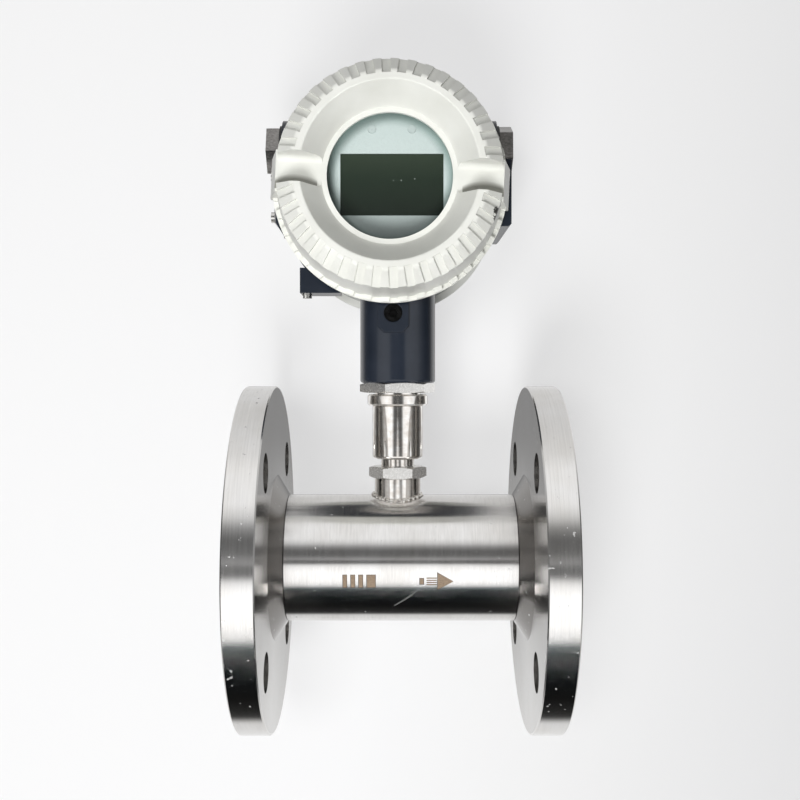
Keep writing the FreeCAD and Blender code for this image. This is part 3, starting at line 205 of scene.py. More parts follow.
lamps = {
    # name: place, size across, watts; all point at the meter and stay out of reflections
    "lowFront": ((-0.06, -0.96, -0.43), 0.40, 8.2),
    "front": ((-0.16, -1.24, 0.16), 0.35, 5.8),
    "behind": ((0.45, 1.00, 0.65), 0.50, 3.5),
}


def makeLamps():
    target = Vector((middleX, 0, headZ / 2))
    for name, (place, size, watts) in lamps.items():
        data = bpy.data.lights.new(name, "AREA")
        data.shape = "DISK"
        data.size = size
        data.energy = watts
        obj = bpy.data.objects.new(name, data)
        bpy.context.scene.collection.objects.link(obj)
        obj.location = place
        obj.rotation_mode = "QUATERNION"
        obj.rotation_quaternion = (target - Vector(place)).to_track_quat("-Z", "Y")
        obj.visible_glossy = False


backdrop = {"gap": 0.0003, "reach": 3.0, "lowEdge": -0.33, "colour": (0.86, 0.86, 0.865), "rough": 0.8,
            "glow": [(0.0, (1.0, 1.0, 1.0)), (0.5, (0.97, 0.97, 0.975)), (0.7, (0.89, 0.89, 0.89)),
                     (1.0, (0.76, 0.76, 0.765))], "glowSpan": 0.5, "glowLean": 0.5, "glowShare": 0.6}


def makeBackdrop():
    # the table that the meter lies on in the photograph: a plane behind it, open from behind
    rear = max(cadBox[1][1], 0.0) + backdrop["gap"]
    reach = backdrop["reach"]
    low = backdrop["lowEdge"]
    corners = [(-reach, rear, low), (reach, rear, low), (reach, rear, reach), (-reach, rear, reach)]
    mesh = bpy.data.meshes.new("paleTable")
    mesh.from_pydata(corners, [], [(0, 1, 2, 3)])
    obj = bpy.data.objects.new("paleTable", mesh)
    bpy.context.scene.collection.objects.link(obj)
    mat = bpy.data.materials.new("paleTable")
    mat.use_nodes = True
    tree = mat.node_tree
    shader = tree.nodes["Principled BSDF"]
    shader.inputs["Base Color"].default_value = backdrop["colour"] + (1,)
    shader.inputs["Roughness"].default_value = backdrop["rough"]
    # painted light and shade: the camera sees part of the backdrop as a glow, white to the left and higher up,
    # greyer to the right and lower down
    glow = tree.nodes.new("ShaderNodeEmission")
    across = tree.nodes.new("ShaderNodeSeparateXYZ")
    tree.links.new(tree.nodes.new("ShaderNodeTexCoord").outputs["Object"], across.inputs[0])
    place = calc(tree, "MULTIPLY_ADD", across.outputs[0], 1 / backdrop["glowSpan"],
                 0.5 - middleX / backdrop["glowSpan"])
    place = calc(tree, "MULTIPLY_ADD", across.outputs[2], -backdrop["glowLean"], place)
    tree.links.new(ramp(tree, place, backdrop["glow"]), glow.inputs[0])
    lit = tree.nodes.new("ShaderNodeMixShader")
    seen = tree.nodes.new("ShaderNodeLightPath").outputs["Is Camera Ray"]
    tree.links.new(calc(tree, "MULTIPLY", seen, backdrop["glowShare"]), lit.inputs[0])
    tree.links.new(shader.outputs[0], lit.inputs[1])
    tree.links.new(glow.outputs[0], lit.inputs[2])
    behind = tree.nodes.new("ShaderNodeNewGeometry").outputs["Backfacing"]
    clear = tree.nodes.new("ShaderNodeBsdfTransparent")
    mix = tree.nodes.new("ShaderNodeMixShader")
    tree.links.new(behind, mix.inputs[0])
    tree.links.new(lit.outputs[0], mix.inputs[1])
    tree.links.new(clear.outputs[0], mix.inputs[2])
    tree.links.new(mix.outputs[0], tree.nodes["Material Output"].inputs[0])
    mesh.materials.append(mat)
    obj.visible_glossy = False
    obj.visible_diffuse = False
    obj.visible_shadow = False


makeCamera()
makeWorld()
makeLamps()
makeBackdrop()
print("stage ready")


# Materials

def startMaterial(name):
    mat = bpy.data.materials.new(name)
    mat.use_nodes = True
    tree = mat.node_tree
    return mat, tree, tree.nodes["Principled BSDF"]


def objectAxes(tree, centre=(0, 0, 0)):
    moved = tree.nodes.new("ShaderNodeVectorMath")
    moved.operation = "SUBTRACT"
    tree.links.new(tree.nodes.new("ShaderNodeTexCoord").outputs["Object"], moved.inputs[0])
    moved.inputs[1].default_value = centre
    parts = tree.nodes.new("ShaderNodeSeparateXYZ")
    tree.links.new(moved.outputs[0], parts.inputs[0])
    return moved.outputs[0], parts.outputs


def noise(tree, vector, scale, detail=3.0, roughness=0.5, extra=None):
    made = tree.nodes.new("ShaderNodeTexNoise")
    made.inputs["Scale"].default_value = scale
    made.inputs["Detail"].default_value = detail
    made.inputs["Roughness"].default_value = roughness
    if extra is not None:
        made.noise_dimensions = "4D"
        feed(tree, extra, made.inputs["W"])
    tree.links.new(vector, made.inputs["Vector"])
    return made.outputs[0]


def bumpOf(tree, shader, height, strength, distance, edgeRadius=None):
    # edgeRadius also rounds the shading of sharp edges
    made = tree.nodes.new("ShaderNodeBump")
    made.inputs["Strength"].default_value = strength
    made.inputs["Distance"].default_value = distance
    tree.links.new(height, made.inputs["Height"])
    tree.links.new(made.outputs[0], shader.inputs["Normal"])
    if edgeRadius is not None:
        rounded = tree.nodes.new("ShaderNodeBevel")
        rounded.samples = 4
        rounded.inputs["Radius"].default_value = edgeRadius
        tree.links.new(rounded.outputs[0], made.inputs["Normal"])


def nearPoint(tree, parts, point, radius, ragged=None, depth=None):
    # 1 within radius of the point seen from the front; ragged, a noise socket, makes the patch uneven;
    # depth is its middle and half length along Y, where it isn't a mark that runs right through
    across = calc(tree, "POWER", calc(tree, "SUBTRACT", parts[0], point[0]), 2.0)
    upward = calc(tree, "POWER", calc(tree, "SUBTRACT", parts[2], point[1]), 2.0)
    squares = calc(tree, "ADD", across, upward)
    if depth is not None:
        length = calc(tree, "MULTIPLY", calc(tree, "SUBTRACT", parts[1], depth[0]), radius / depth[1])
        squares = calc(tree, "ADD", squares, calc(tree, "POWER", length, 2.0))
    reach = calc(tree, "SQRT", squares)
    if ragged is not None:
        reach = calc(tree, "MULTIPLY_ADD", ragged, 2 * radius, calc(tree, "SUBTRACT", reach, radius))
    return calc(tree, "LESS_THAN", reach, radius)


def arcScratch(tree, parts, arc):
    # 1 on a thin line along a circle in the XZ plane, over a span of x and on the camera's side
    across = calc(tree, "POWER", calc(tree, "SUBTRACT", parts[0], arc["x"]), 2.0)
    upward = calc(tree, "POWER", calc(tree, "SUBTRACT", parts[2], arc["z"]), 2.0)
    reach = calc(tree, "SQRT", calc(tree, "ADD", across, upward))
    line = calc(tree, "COMPARE", reach, arc["radius"], arc["width"])
    span = calc(tree, "COMPARE", parts[0], arc["middle"], arc["half"])
    nearSide = calc(tree, "LESS_THAN", parts[1], 0.0)
    return calc(tree, "MULTIPLY", calc(tree, "MULTIPLY", line, span), nearSide)


# seam, bare and nick colours are real wear; shade is the dark grey of the painted shade on faces and hubs
wearAndShade = {"shade": (0.20, 0.19, 0.18), "seam": (0.10, 0.09, 0.09), "bare": (0.62, 0.62, 0.61),
        "nickScale": 420.0, "nickEdge": 0.015, "nickMetal": -0.7}


def turnedMetal(name, axis, centre, look):
    # lathe marks: noise drawn out round the axis, fine across it; look holds colour, roughness and marks
    mat, tree, shader = startMaterial(name)
    _, parts = objectAxes(tree, centre)
    order = {"X": (0, 1, 2), "Y": (1, 2, 0), "Z": (2, 0, 1)}[axis]
    along, first, second = (parts[index] for index in order)
    squares = calc(tree, "ADD", calc(tree, "POWER", first, 2.0), calc(tree, "POWER", second, 2.0))
    radius = calc(tree, "MAXIMUM", calc(tree, "SQRT", squares), 0.0001)
    outwards = [calc(tree, "DIVIDE", first, radius), calc(tree, "DIVIDE", second, radius)]
    direction = tree.nodes.new("ShaderNodeCombineXYZ")
    tree.links.new(calc(tree, "MULTIPLY", along, look["fine"]), direction.inputs[0])
    for share, socket in zip(outwards, direction.inputs[1:]):
        tree.links.new(calc(tree, "MULTIPLY", share, look["round"]), socket)
    depth = calc(tree, "MULTIPLY", radius, look["fine"])
    marks = noise(tree, direction.outputs[0], 1.0, 4.0, 0.65, depth)
    broad = tree.nodes.new("ShaderNodeTexCoord").outputs["Object"]
    clouds = noise(tree, broad, look.get("cloudScale", 45.0), 3.0)
    tone = ramp(tree, marks, [(0.25, look["dark"]), (0.75, look["light"])])
    stain = ramp(tree, clouds, [(0.35, look.get("stain", (0.93, 0.92, 0.90))), (0.65, (1.0, 1.0, 1.0))])
    tone = blendColour(tree, 1.0, tone, stain, "MULTIPLY")
    rough = calc(tree, "MULTIPLY_ADD", marks, look["roughSpread"], look["rough"] - look["roughSpread"] / 2)
    # painted shade: inside each radius the colour is blended towards a dark grey, standing in for the shade on the
    # faces and hub
    for limit, amount in look.get("shaded", []):
        inside = calc(tree, "LESS_THAN", radius, limit)
        tone = blendColour(tree, calc(tree, "MULTIPLY", inside, amount), tone, wearAndShade["shade"])
    for place, width in look.get("joints", []):
        seam = calc(tree, "COMPARE", along, place, width)
        tone = blendColour(tree, seam, tone, wearAndShade["seam"])
    metallic = 1.0
    if "nicks" in look:
        worn = ramp(tree, noise(tree, broad, wearAndShade["nickScale"], 2.0),
                    [(look["nicks"], 0.0), (look["nicks"] + wearAndShade["nickEdge"], 1.0)])
        if "scratch" in look:
            worn = calc(tree, "MAXIMUM", worn, arcScratch(tree, parts, look["scratch"]))
        tone = blendColour(tree, worn, tone, wearAndShade["bare"])
        metallic = calc(tree, "MULTIPLY_ADD", worn, wearAndShade["nickMetal"], 1.0)
    tree.links.new(tone, shader.inputs["Base Color"])
    tree.links.new(rough, shader.inputs["Roughness"])
    feed(tree, metallic, shader.inputs["Metallic"])
    # marks run round the axis, so reflections smear along it, and outwards on a face
    drawn = tree.nodes.new("ShaderNodeCombineXYZ")
    drawn.inputs[order[0]].default_value = 1.0
    for share, index in zip(outwards, order[1:]):
        tree.links.new(share, drawn.inputs[index])
    turned = tree.nodes.new("ShaderNodeVectorTransform")
    turned.vector_type = "VECTOR"
    turned.convert_from = "OBJECT"
    turned.convert_to = "WORLD"
    tree.links.new(drawn.outputs[0], turned.inputs[0])
    tree.links.new(turned.outputs[0], shader.inputs["Tangent"])
    shader.inputs["Anisotropic"].default_value = look.get("brushed", 0.6)
    bumpOf(tree, shader, marks, look.get("bump", 0.25), 0.00004)
    return mat


def plainMetal(name, look):
    # drawn or plated metal with a soft mottle and fine scratches
    mat, tree, shader = startMaterial(name)
    place, _ = objectAxes(tree)
    mottle = noise(tree, place, look.get("scale", 400.0), 5.0, 0.6)
    tone = ramp(tree, mottle, [(0.3, look["dark"]), (0.7, look["light"])])
    tree.links.new(tone, shader.inputs["Base Color"])
    rough = calc(tree, "MULTIPLY_ADD", mottle, look["roughSpread"], look["rough"] - look["roughSpread"] / 2)
    tree.links.new(rough, shader.inputs["Roughness"])
    shader.inputs["Metallic"].default_value = look.get("metallic", 1.0)
    bumpOf(tree, shader, mottle, look.get("bump", 0.2), look.get("depth", 0.00003))
    return mat


def paintedLedgeShade(tree, parts, shadeLedges):
    # painted shade low on the floors of the two finger troughs, where the lower ledge shades them: a crescent that
    # is deepest half way along them
    across = calc(tree, "SUBTRACT", parts[0], headX)
    height = calc(tree, "SUBTRACT", calc(tree, "MULTIPLY_ADD", across, shadeLedges["slope"], parts[2]), headZ)
    along = calc(tree, "SUBTRACT", calc(tree, "ABSOLUTE", across), shadeLedges["middle"])
    bow = calc(tree, "POWER", calc(tree, "MULTIPLY", along, 1 / shadeLedges["half"]), 2.0)
    depth = calc(tree, "SUBTRACT", calc(tree, "MULTIPLY_ADD", bow, -shadeLedges["bow"], shadeLedges["top"]), height)
    amount = ramp(tree, calc(tree, "MULTIPLY", depth, 1 / shadeLedges["fade"]),
                  [(0.0, 0.0), (1.0, shadeLedges["most"])])
    amount = calc(tree, "MULTIPLY", amount, calc(tree, "LESS_THAN", bow, 1.0))
    amount = calc(tree, "MULTIPLY", amount, calc(tree, "GREATER_THAN", height, shadeLedges["bottom"]))
    return calc(tree, "MULTIPLY", amount, calc(tree, "COMPARE", parts[1], shadeLedges["floor"], shadeLedges["corner"]))


def paint(name, look):
    # powder coat: fine orange peel over a broad unevenness
    mat, tree, shader = startMaterial(name)
    place, parts = objectAxes(tree)
    peel = noise(tree, place, look["peelScale"], 2.0)
    broad = noise(tree, place, 60.0, 3.0)
    tone = ramp(tree, broad, [(0.3, look["dark"]), (0.7, look["light"])])
    # painted shade: the trough floors darken next to their lower ledges
    if "shadeLedges" in look:
        tone = blendColour(tree, paintedLedgeShade(tree, parts, look["shadeLedges"]), tone, look["shadeLedges"]["colour"])
    for point, radius in look.get("chips", []):
        chip = nearPoint(tree, parts, point, radius, noise(tree, place, 900.0, 3.0), look["chipDepth"])
        tone = blendColour(tree, chip, tone, look["chipColour"])
    tree.links.new(tone, shader.inputs["Base Color"])
    rough = calc(tree, "MULTIPLY_ADD", broad, look["roughSpread"], look["rough"] - look["roughSpread"] / 2)
    tree.links.new(rough, shader.inputs["Roughness"])
    shader.inputs["Specular IOR Level"].default_value = look.get("shine", 0.5)
    bumpOf(tree, shader, peel, look["bump"], 0.00005, look.get("edgeRadius"))
    return mat


def moulded(name, look):
    # plastic, rubber or board: a fine grain and a little unevenness in gloss
    mat, tree, shader = startMaterial(name)
    place, _ = objectAxes(tree)
    grain = noise(tree, place, look.get("scale", 900.0), 3.0)
    tone = ramp(tree, grain, [(0.3, look["dark"]), (0.7, look["light"])])
    tree.links.new(tone, shader.inputs["Base Color"])
    rough = calc(tree, "MULTIPLY_ADD", grain, 0.12, look["rough"] - 0.06)
    tree.links.new(rough, shader.inputs["Roughness"])
    bumpOf(tree, shader, grain, 0.15, 0.00004)
    return mat


stemCentre = (joints["head_swivel"]["pos_m"][0], 0, 0)
headCentre = tuple(joints["front_cover_turn"]["pos_m"])
steelLook = {"dark": (0.74, 0.73, 0.72), "light": (0.86, 0.85, 0.84), "rough": 0.22, "roughSpread": 0.07,
             "fine": 1600.0, "round": 3.0, "bump": 0.10, "brushed": 0.8}
scratch = {"x": 0.0427, "z": 0.0302, "radius": 0.0563, "width": 0.00010, "middle": 0.0769, "half": 0.0060}
tubeEnds = [corner[0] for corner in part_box("meter_tube")]
tubeLook = dict(steelLook, scratch=scratch, nicks=0.735, stain=(0.88, 0.87, 0.855), rough=0.19,
                joints=[(tubeEnds[0] + 0.0001, 0.0003), (tubeEnds[1] - 0.0001, 0.0003)])
faceLook = dict(steelLook, rough=0.18, nicks=0.71, shaded=[(0.0815, 0.45), (0.0397, 0.80)])  # painted shade on the flange faces, darker still on the hub
stemLook = {"dark": (0.80, 0.79, 0.77), "light": (0.90, 0.89, 0.87), "rough": 0.08, "roughSpread": 0.06,
            "fine": 1500.0, "round": 1.5, "bump": 0.08, "brushed": 0.4, "stain": (0.84, 0.80, 0.77),
            "cloudScale": 300.0}
innerLook = dict(steelLook, rough=0.34)
hardLook = {"dark": (0.20, 0.20, 0.22), "light": (0.34, 0.34, 0.36), "rough": 0.25, "roughSpread": 0.1,
            "fine": 1500.0, "round": 1.5}

# painted shade in the finger troughs: where the crescent lies, how it fades, and its dark colour
troughShade = {"slope": 0.0378, "middle": 0.0412, "half": 0.0098, "top": -0.0007, "bow": 0.0024,
           "fade": 0.0022, "most": 0.82, "bottom": -0.0073, "floor": -0.0525, "corner": 0.0018,
           "colour": (0.13, 0.13, 0.105)}

finishes = {
    "tube_steel": turnedMetal("tubeSteel", "X", (0, 0, 0), tubeLook),
    "flange_steel": turnedMetal("flangeSteel", "X", (0, 0, 0), faceLook),
    "weld_metal": plainMetal("weldMetal", {"dark": (0.50, 0.46, 0.42), "light": (0.86, 0.84, 0.80),
                                           "rough": 0.22, "roughSpread": 0.2, "scale": 700.0, "bump": 0.6,
                                           "depth": 0.0002}),
    "boss_steel": turnedMetal("bossSteel", "Z", stemCentre, stemLook),
    "nut_steel": plainMetal("nutSteel", {"dark": (0.74, 0.73, 0.71), "light": (0.92, 0.91, 0.89),
                                         "rough": 0.26, "roughSpread": 0.12, "scale": 900.0, "bump": 0.2,
                                         "metallic": 0.85}),
    "straightener_steel": turnedMetal("straightenerSteel", "X", (0, 0, 0), innerLook),
    "spring_steel": plainMetal("springSteel", {"dark": (0.28, 0.28, 0.29), "light": (0.42, 0.42, 0.43),
                                               "rough": 0.3, "roughSpread": 0.1}),
    "bearing_carbide": turnedMetal("bearingCarbide", "X", (0, 0, 0), hardLook),
    "rotor_steel": turnedMetal("rotorSteel", "X", (0, 0, 0), innerLook),
    "pole_iron": plainMetal("poleIron", {"dark": (0.20, 0.20, 0.20), "light": (0.32, 0.31, 0.30),
                                         "rough": 0.45, "roughSpread": 0.15}),
    "bobbin_plastic": moulded("bobbinPlastic", {"dark": (0.72, 0.70, 0.64), "light": (0.84, 0.82, 0.76),
                                                "rough": 0.5}),
    "coil_copper": turnedMetal("coilCopper", "Z", stemCentre,
                               {"dark": (0.45, 0.18, 0.07), "light": (0.78, 0.38, 0.18), "rough": 0.35,
                                "roughSpread": 0.1, "fine": 4000.0, "round": 0.5, "bump": 0.5}),
    "board_laminate": moulded("boardLaminate", {"dark": (0.02, 0.12, 0.05), "light": (0.04, 0.20, 0.09),
                                                "rough": 0.35}),
    "lead_jacket": moulded("leadJacket", {"dark": (0.015, 0.015, 0.015), "light": (0.04, 0.04, 0.04),
                                          "rough": 0.55}),
    "connector_plastic": moulded("connectorPlastic", {"dark": (0.74, 0.71, 0.60), "light": (0.84, 0.81, 0.70),
                                                      "rough": 0.45}),
    "housing_paint": paint("housingPaint", {"dark": (0.013, 0.018, 0.028), "light": (0.021, 0.027, 0.040),
                                            "peelScale": 500.0, "rough": 0.13, "roughSpread": 0.06,
                                            "shine": 0.38, "bump": 0.06, "edgeRadius": 0.0008}),
    "lock_screw_steel": plainMetal("lockScrewSteel", {"dark": (0.010, 0.010, 0.010),
                                                      "light": (0.03, 0.03, 0.03),
                                                      "rough": 0.45, "roughSpread": 0.1}),
    "cover_paint": paint("coverPaint", {"dark": (0.76, 0.765, 0.715), "light": (0.83, 0.835, 0.79),
                                        "peelScale": 900.0, "rough": 0.34, "roughSpread": 0.10, "bump": 0.10,
                                        "chips": [((headX + 0.0464, headZ - 0.0165), 0.0023),
                                                  ((headX + 0.0458, headZ - 0.0192), 0.0014)],
                                        "chipDepth": (-0.0565, 0.0045), "chipColour": (0.04, 0.04, 0.036),
                                        "shadeLedges": troughShade}),
    "seal_rubber": moulded("sealRubber", {"dark": (0.012, 0.012, 0.012), "light": (0.035, 0.035, 0.035),
                                          "rough": 0.6}),
    "snap_ring_steel": plainMetal("snapRingSteel", {"dark": (0.42, 0.42, 0.42), "light": (0.58, 0.58, 0.58),
                                                    "rough": 0.3, "roughSpread": 0.1}),
    "key_rubber": moulded("keyRubber", {"dark": (0.70, 0.76, 0.75), "light": (0.76, 0.82, 0.81),
                                        "rough": 0.5}),
    "switch_plastic": moulded("switchPlastic", {"dark": (0.02, 0.02, 0.02), "light": (0.05, 0.05, 0.05),
                                                "rough": 0.4}),
    "pillar_brass": plainMetal("pillarBrass", {"dark": (0.55, 0.38, 0.14), "light": (0.74, 0.56, 0.27),
                                               "rough": 0.28, "roughSpread": 0.1}),
    "terminal_plastic": moulded("terminalPlastic", {"dark": (0.02, 0.10, 0.04), "light": (0.05, 0.17, 0.08),
                                                    "rough": 0.4}),
    "screw_steel": plainMetal("screwSteel", {"dark": (0.58, 0.57, 0.55), "light": (0.78, 0.77, 0.74),
                                             "rough": 0.22, "roughSpread": 0.12}),
    "plug_steel": turnedMetal("plugSteel", "X", (0, 0.026, headZ + 0.027),
                              dict(steelLook, dark=(0.13, 0.125, 0.12), light=(0.36, 0.35, 0.34), rough=0.34,
                                   fine=700.0, round=12.0, bump=0.5)),
    "plate_metal": plainMetal("plateMetal", {"dark": (0.52, 0.52, 0.52), "light": (0.66, 0.66, 0.66),
                                             "rough": 0.32, "roughSpread": 0.1}),
}


pane = {"rim": 0.033, "mirror": 0.7, "bend": 1.45, "smear": (0.06, 0.02), "body": (0.02, 0.03, 0.025, 1),
        "clear": [(0.74, (0.975, 0.99, 0.985)), (0.83, (0.90, 0.94, 0.93)), (1.0, (0.50, 0.62, 0.58))]}


def fromCentre(tree, parts, rim):
    # distance from the head's axis, as a share of rim
    squares = calc(tree, "ADD", calc(tree, "POWER", parts[0], 2.0), calc(tree, "POWER", parts[2], 2.0))
    return calc(tree, "MULTIPLY", calc(tree, "SQRT", squares), 1 / rim)


def windowGlass():
    # clear pane: it lets nearly everything through, mirrors faintly and is greener at its rim
    mat, tree, shader = startMaterial("windowGlass")
    place, parts = objectAxes(tree, headCentre)
    tone = ramp(tree, fromCentre(tree, parts, pane["rim"]), pane["clear"])
    smear = noise(tree, place, 70.0, 3.0)
    shader.inputs["Base Color"].default_value = pane["body"]
    tree.links.new(calc(tree, "MULTIPLY_ADD", smear, *pane["smear"]), shader.inputs["Roughness"])
    clear = tree.nodes.new("ShaderNodeBsdfTransparent")
    tree.links.new(tone, clear.inputs[0])
    fresnel = tree.nodes.new("ShaderNodeFresnel")
    fresnel.inputs["IOR"].default_value = pane["bend"]
    share = calc(tree, "MULTIPLY", fresnel.outputs[0], pane["mirror"])
    mix = tree.nodes.new("ShaderNodeMixShader")
    tree.links.new(share, mix.inputs[0])
    tree.links.new(clear.outputs[0], mix.inputs[1])
    tree.links.new(shader.outputs[0], mix.inputs[2])
    tree.links.new(mix.outputs[0], tree.nodes["Material Output"].inputs[0])
    return mat


display = {"rise": 36.0,         # one over the height that the shading runs over
           "shading": [(0.0, (0.018, 0.024, 0.018)), (0.55, (0.028, 0.040, 0.028)),
                       (1.0, (0.055, 0.072, 0.050))],
           # specks of dust: across, up, radius
           "dust": [(0.0050, 0.0004, 0.00020), (0.0110, 0.0011, 0.00018), (0.0014, 0.0004, 0.00014)],
           "dustColour": (0.75, 0.78, 0.75), "rough": (0.1, 0.18)}


def displayGlass():
    # unlit panel: a dark green-grey, with painted light that makes it lighter towards its top
    mat, tree, shader = startMaterial("displayGlass")
    place, parts = objectAxes(tree, headCentre)
    tone = ramp(tree, calc(tree, "MULTIPLY_ADD", parts[2], display["rise"], 0.5), display["shading"])
    grain = noise(tree, place, 2500.0, 2.0)
    speck = ramp(tree, grain, [(0.3, 0.94), (0.7, 1.0)])
    tone = blendColour(tree, 1.0, tone, speck, "MULTIPLY")
    for across, upward, radius in display["dust"]:
        dust = nearPoint(tree, parts, (across, upward), radius)
        tone = blendColour(tree, dust, tone, display["dustColour"])
    tree.links.new(tone, shader.inputs["Base Color"])
    tree.links.new(calc(tree, "MULTIPLY_ADD", grain, *display["rough"]), shader.inputs["Roughness"])
    return mat


# painted shade: toRim darkens the plate near the window's rim, upwards darkens its foot
plate = {"rim": 0.042, "rise": 20.0, "rough": (0.1, 0.38),
         "toRim": [(0.0, (0.84, 0.90, 0.89)), (0.58, (0.83, 0.90, 0.89)), (0.67, (0.52, 0.60, 0.58)),
                   (1.0, (0.20, 0.24, 0.24))],
         "upwards": [(0.0, 0.30), (0.25, 0.70), (0.45, 1.0)]}


def bezelPlate():
    # printed plate: pale grey-blue, with painted shade that darkens it towards its rim and its foot
    mat, tree, shader = startMaterial("bezelPlate")
    place, parts = objectAxes(tree, headCentre)
    tone = ramp(tree, fromCentre(tree, parts, plate["rim"]), plate["toRim"])
    grain = noise(tree, place, 1200.0, 3.0)
    speck = ramp(tree, grain, [(0.3, 0.95), (0.7, 1.0)])
    tone = blendColour(tree, 1.0, tone, speck, "MULTIPLY")
    shade = ramp(tree, calc(tree, "MULTIPLY_ADD", parts[2], plate["rise"], 0.5), plate["upwards"])
    tree.links.new(blendColour(tree, 1.0, tone, shade, "MULTIPLY"), shader.inputs["Base Color"])
    tree.links.new(calc(tree, "MULTIPLY_ADD", grain, *plate["rough"]), shader.inputs["Roughness"])
    return mat


finishes["window_glass"] = windowGlass()
finishes["lcd_glass"] = displayGlass()
finishes["bezel_plate"] = bezelPlate()

slotOf = {item["node"]: item["material_slot"] for item in frame["record"]["subparts"]}


def giveFinish(obj, slot):
    obj.data.materials.clear()
    obj.data.materials.append(finishes[slot])


for nodeName, node in nodes.items():
    giveFinish(node, slotOf[nodeName])
print("finishes on", len(nodes), "nodes")


# Pieces the solids leave out: the weld's ripples and the etched flow arrow

def gridFaces(rows, columns, wrapRows=False, wrapColumns=False, start=0):
    # four-sided faces between neighbouring points of a grid, whose rows or columns may close into a ring
    faces = []
    for row in range(rows if wrapRows else rows - 1):
        for column in range(columns if wrapColumns else columns - 1):
            nextRow, nextColumn = (row + 1) % rows, (column + 1) % columns
            loop = (row * columns + column, nextRow * columns + column,
                    nextRow * columns + nextColumn, row * columns + nextColumn)
            faces.append([start + item for item in loop])
    return faces


def addPiece(name, points, faces, body, slot):
    mesh = bpy.data.meshes.new(name)
    mesh.from_pydata(points.reshape(-1, 3).tolist(), [], faces)
    mesh.polygons.foreach_set("use_smooth", [True] * len(mesh.polygons))
    mesh.update()
    obj = bpy.data.objects.new(name, mesh)
    bpy.context.scene.collection.objects.link(obj)
    giveFinish(obj, slot)
    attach(obj, body)
    return obj


weld = {"around": 720, "across": 28, "reach": 0.0112, "size": 0.0012, "tubeRadius": 0.03015, "sunk": 0.0001,
        "ripples": 34, "rippleSize": 0.12, "rates": (3, 5, 9, 14, 23, 61, 97), "uneven": 0.42, "calm": 0.62,
        "seed": 4}


def rippledWeld():
    # a small round bead swept round the boss where it meets the tube: the place is the boss's circle at the
    # reach, raised to the tube's surface, plus the size times the section's cosine outwards and sine
    # upwards; the size is one plus sines of the angle round the boss, at the ripple count and at a few
    # slower and faster uneven rates, which are smaller the faster they are
    pick = np.random.default_rng(weld["seed"])
    turn = np.linspace(0, 2 * np.pi, weld["around"], endpoint=False)[:, None]
    section = np.linspace(0, 2 * np.pi, weld["across"], endpoint=False)[None, :]
    sway = 1.3 * np.sin(3 * turn) + 0.8 * np.cos(section)
    lump = 1 + weld["rippleSize"] * np.sin(weld["ripples"] * turn + sway)
    for rate in weld["rates"]:
        share = weld["uneven"] / rate ** weld["calm"] * pick.uniform(0.5, 1)
        lump = lump + share * np.sin(rate * turn + pick.uniform(0, 6) + pick.integers(1, 3) * section)
    size = weld["size"] * lump
    reach = weld["reach"] + size * np.cos(section)
    saddle = np.sqrt(weld["tubeRadius"] ** 2 - (weld["reach"] * np.sin(turn)) ** 2)
    points = np.stack([stemCentre[0] + reach * np.cos(turn), reach * np.sin(turn),
                       saddle + size * np.sin(section) - weld["sunk"]], axis=-1)
    faces = gridFaces(weld["around"], weld["across"], True, True)
    bead = addPiece("rippledWeld", points, faces, "base", "weld_metal")
    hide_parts("boss_weld_bead")


etching = {
    "radius": 0.03017, "sunkRadius": 0.03008, "row": -0.0064, "border": 0.0004, "lip": 0.00003,
    # start, end along the tube; half heights there; height above the row's middle
    "patches": [(0.0472, 0.0494, 0.0032, 0.0032, 0), (0.0508, 0.0531, 0.0032, 0.0032, 0),
                (0.0544, 0.0567, 0.0032, 0.0032, 0), (0.0581, 0.0625, 0.0032, 0.0032, 0),
                (0.0823, 0.0845, 0.0016, 0.0016, 0), (0.0856, 0.0903, 0.0003, 0.0003, 0.00155),
                (0.0856, 0.0903, 0.0003, 0.0003, 0.0005), (0.0856, 0.0903, 0.0003, 0.0003, -0.0005),
                (0.0856, 0.0903, 0.0003, 0.0003, -0.00155), (0.0904, 0.0978, 0.00435, 0.00006, 0)],
    "tone": [(0.3, (0.20, 0.145, 0.10)), (0.7, (0.38, 0.29, 0.21))],
    "burnt": (0.035, 0.03, 0.028), "metallic": 0.25, "rough": (0.2, 0.40),
}


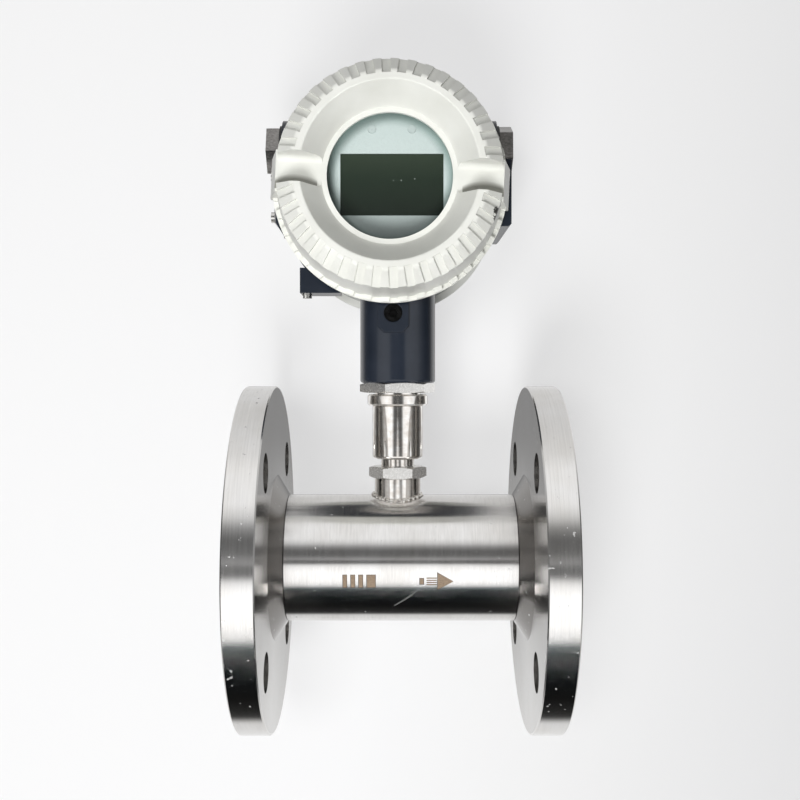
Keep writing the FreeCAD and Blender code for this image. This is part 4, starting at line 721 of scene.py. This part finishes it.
def flowArrow():
    # each patch is a grid wrapped on the tube: x along it, height as a share of its half height, and depth
    # the root of the radius squared less the height squared; the outermost ring is sunk under the tube's face
    allPoints, faces, outline = [], [], []
    for start, end, halfStart, halfEnd, rise in etching["patches"]:
        inner = np.linspace(start + etching["border"], end - etching["border"], 7)
        x = np.concatenate([[start, start + etching["lip"]], inner, [end - etching["lip"], end]])
        tallest = max(halfStart, halfEnd)
        edge = min(etching["border"] / tallest, 0.45)
        lip = etching["lip"] / tallest
        share = np.concatenate([[-1, lip - 1], np.linspace(edge - 1, 1 - edge, 7), [1 - lip, 1]])
        half = halfStart + (halfEnd - halfStart) * (x - start) / (end - start)
        height = etching["row"] + rise + half[:, None] * share[None, :]
        sunk = np.zeros((len(x), len(share)), bool)
        sunk[[0, -1], :] = True
        sunk[:, [0, -1]] = True
        radius = np.where(sunk, etching["sunkRadius"], etching["radius"])
        depth = -np.sqrt(radius ** 2 - height ** 2)
        rim = np.ones(sunk.shape)
        rim[2:-2, 2:-2] = 0
        faces += gridFaces(len(x), len(share), start=sum(map(len, allPoints)))
        grid = np.stack([np.broadcast_to(x[:, None], depth.shape), depth, height], -1)
        allPoints.append(grid.reshape(-1, 3))
        outline.append(rim.reshape(-1))
    finishes["etched"] = etchedMark()
    mark = addPiece("flowArrow", np.concatenate(allPoints), faces, "base", "tube_steel")
    mark.data.attributes.new("outline", "FLOAT", "POINT").data.foreach_set("value", np.concatenate(outline))
    giveFinish(mark, "etched")


def etchedMark():
    # brown matt etching with a burnt outline
    mat, tree, shader = startMaterial("etchedMark")
    place, _ = objectAxes(tree)
    rim = tree.nodes.new("ShaderNodeAttribute")
    rim.attribute_name = "outline"
    grain = noise(tree, place, 2600.0, 3.0)
    tone = ramp(tree, grain, etching["tone"])
    burnt = ramp(tree, rim.outputs["Fac"], [(0.15, 0.0), (0.7, 1.0)])
    tree.links.new(blendColour(tree, burnt, tone, etching["burnt"]), shader.inputs["Base Color"])
    shader.inputs["Metallic"].default_value = etching["metallic"]
    tree.links.new(calc(tree, "MULTIPLY_ADD", grain, *etching["rough"]), shader.inputs["Roughness"])
    return mat


rippledWeld()
flowArrow()
print("weld and flow arrow made")


scene = bpy.context.scene
scene.view_settings.view_transform = "Standard"
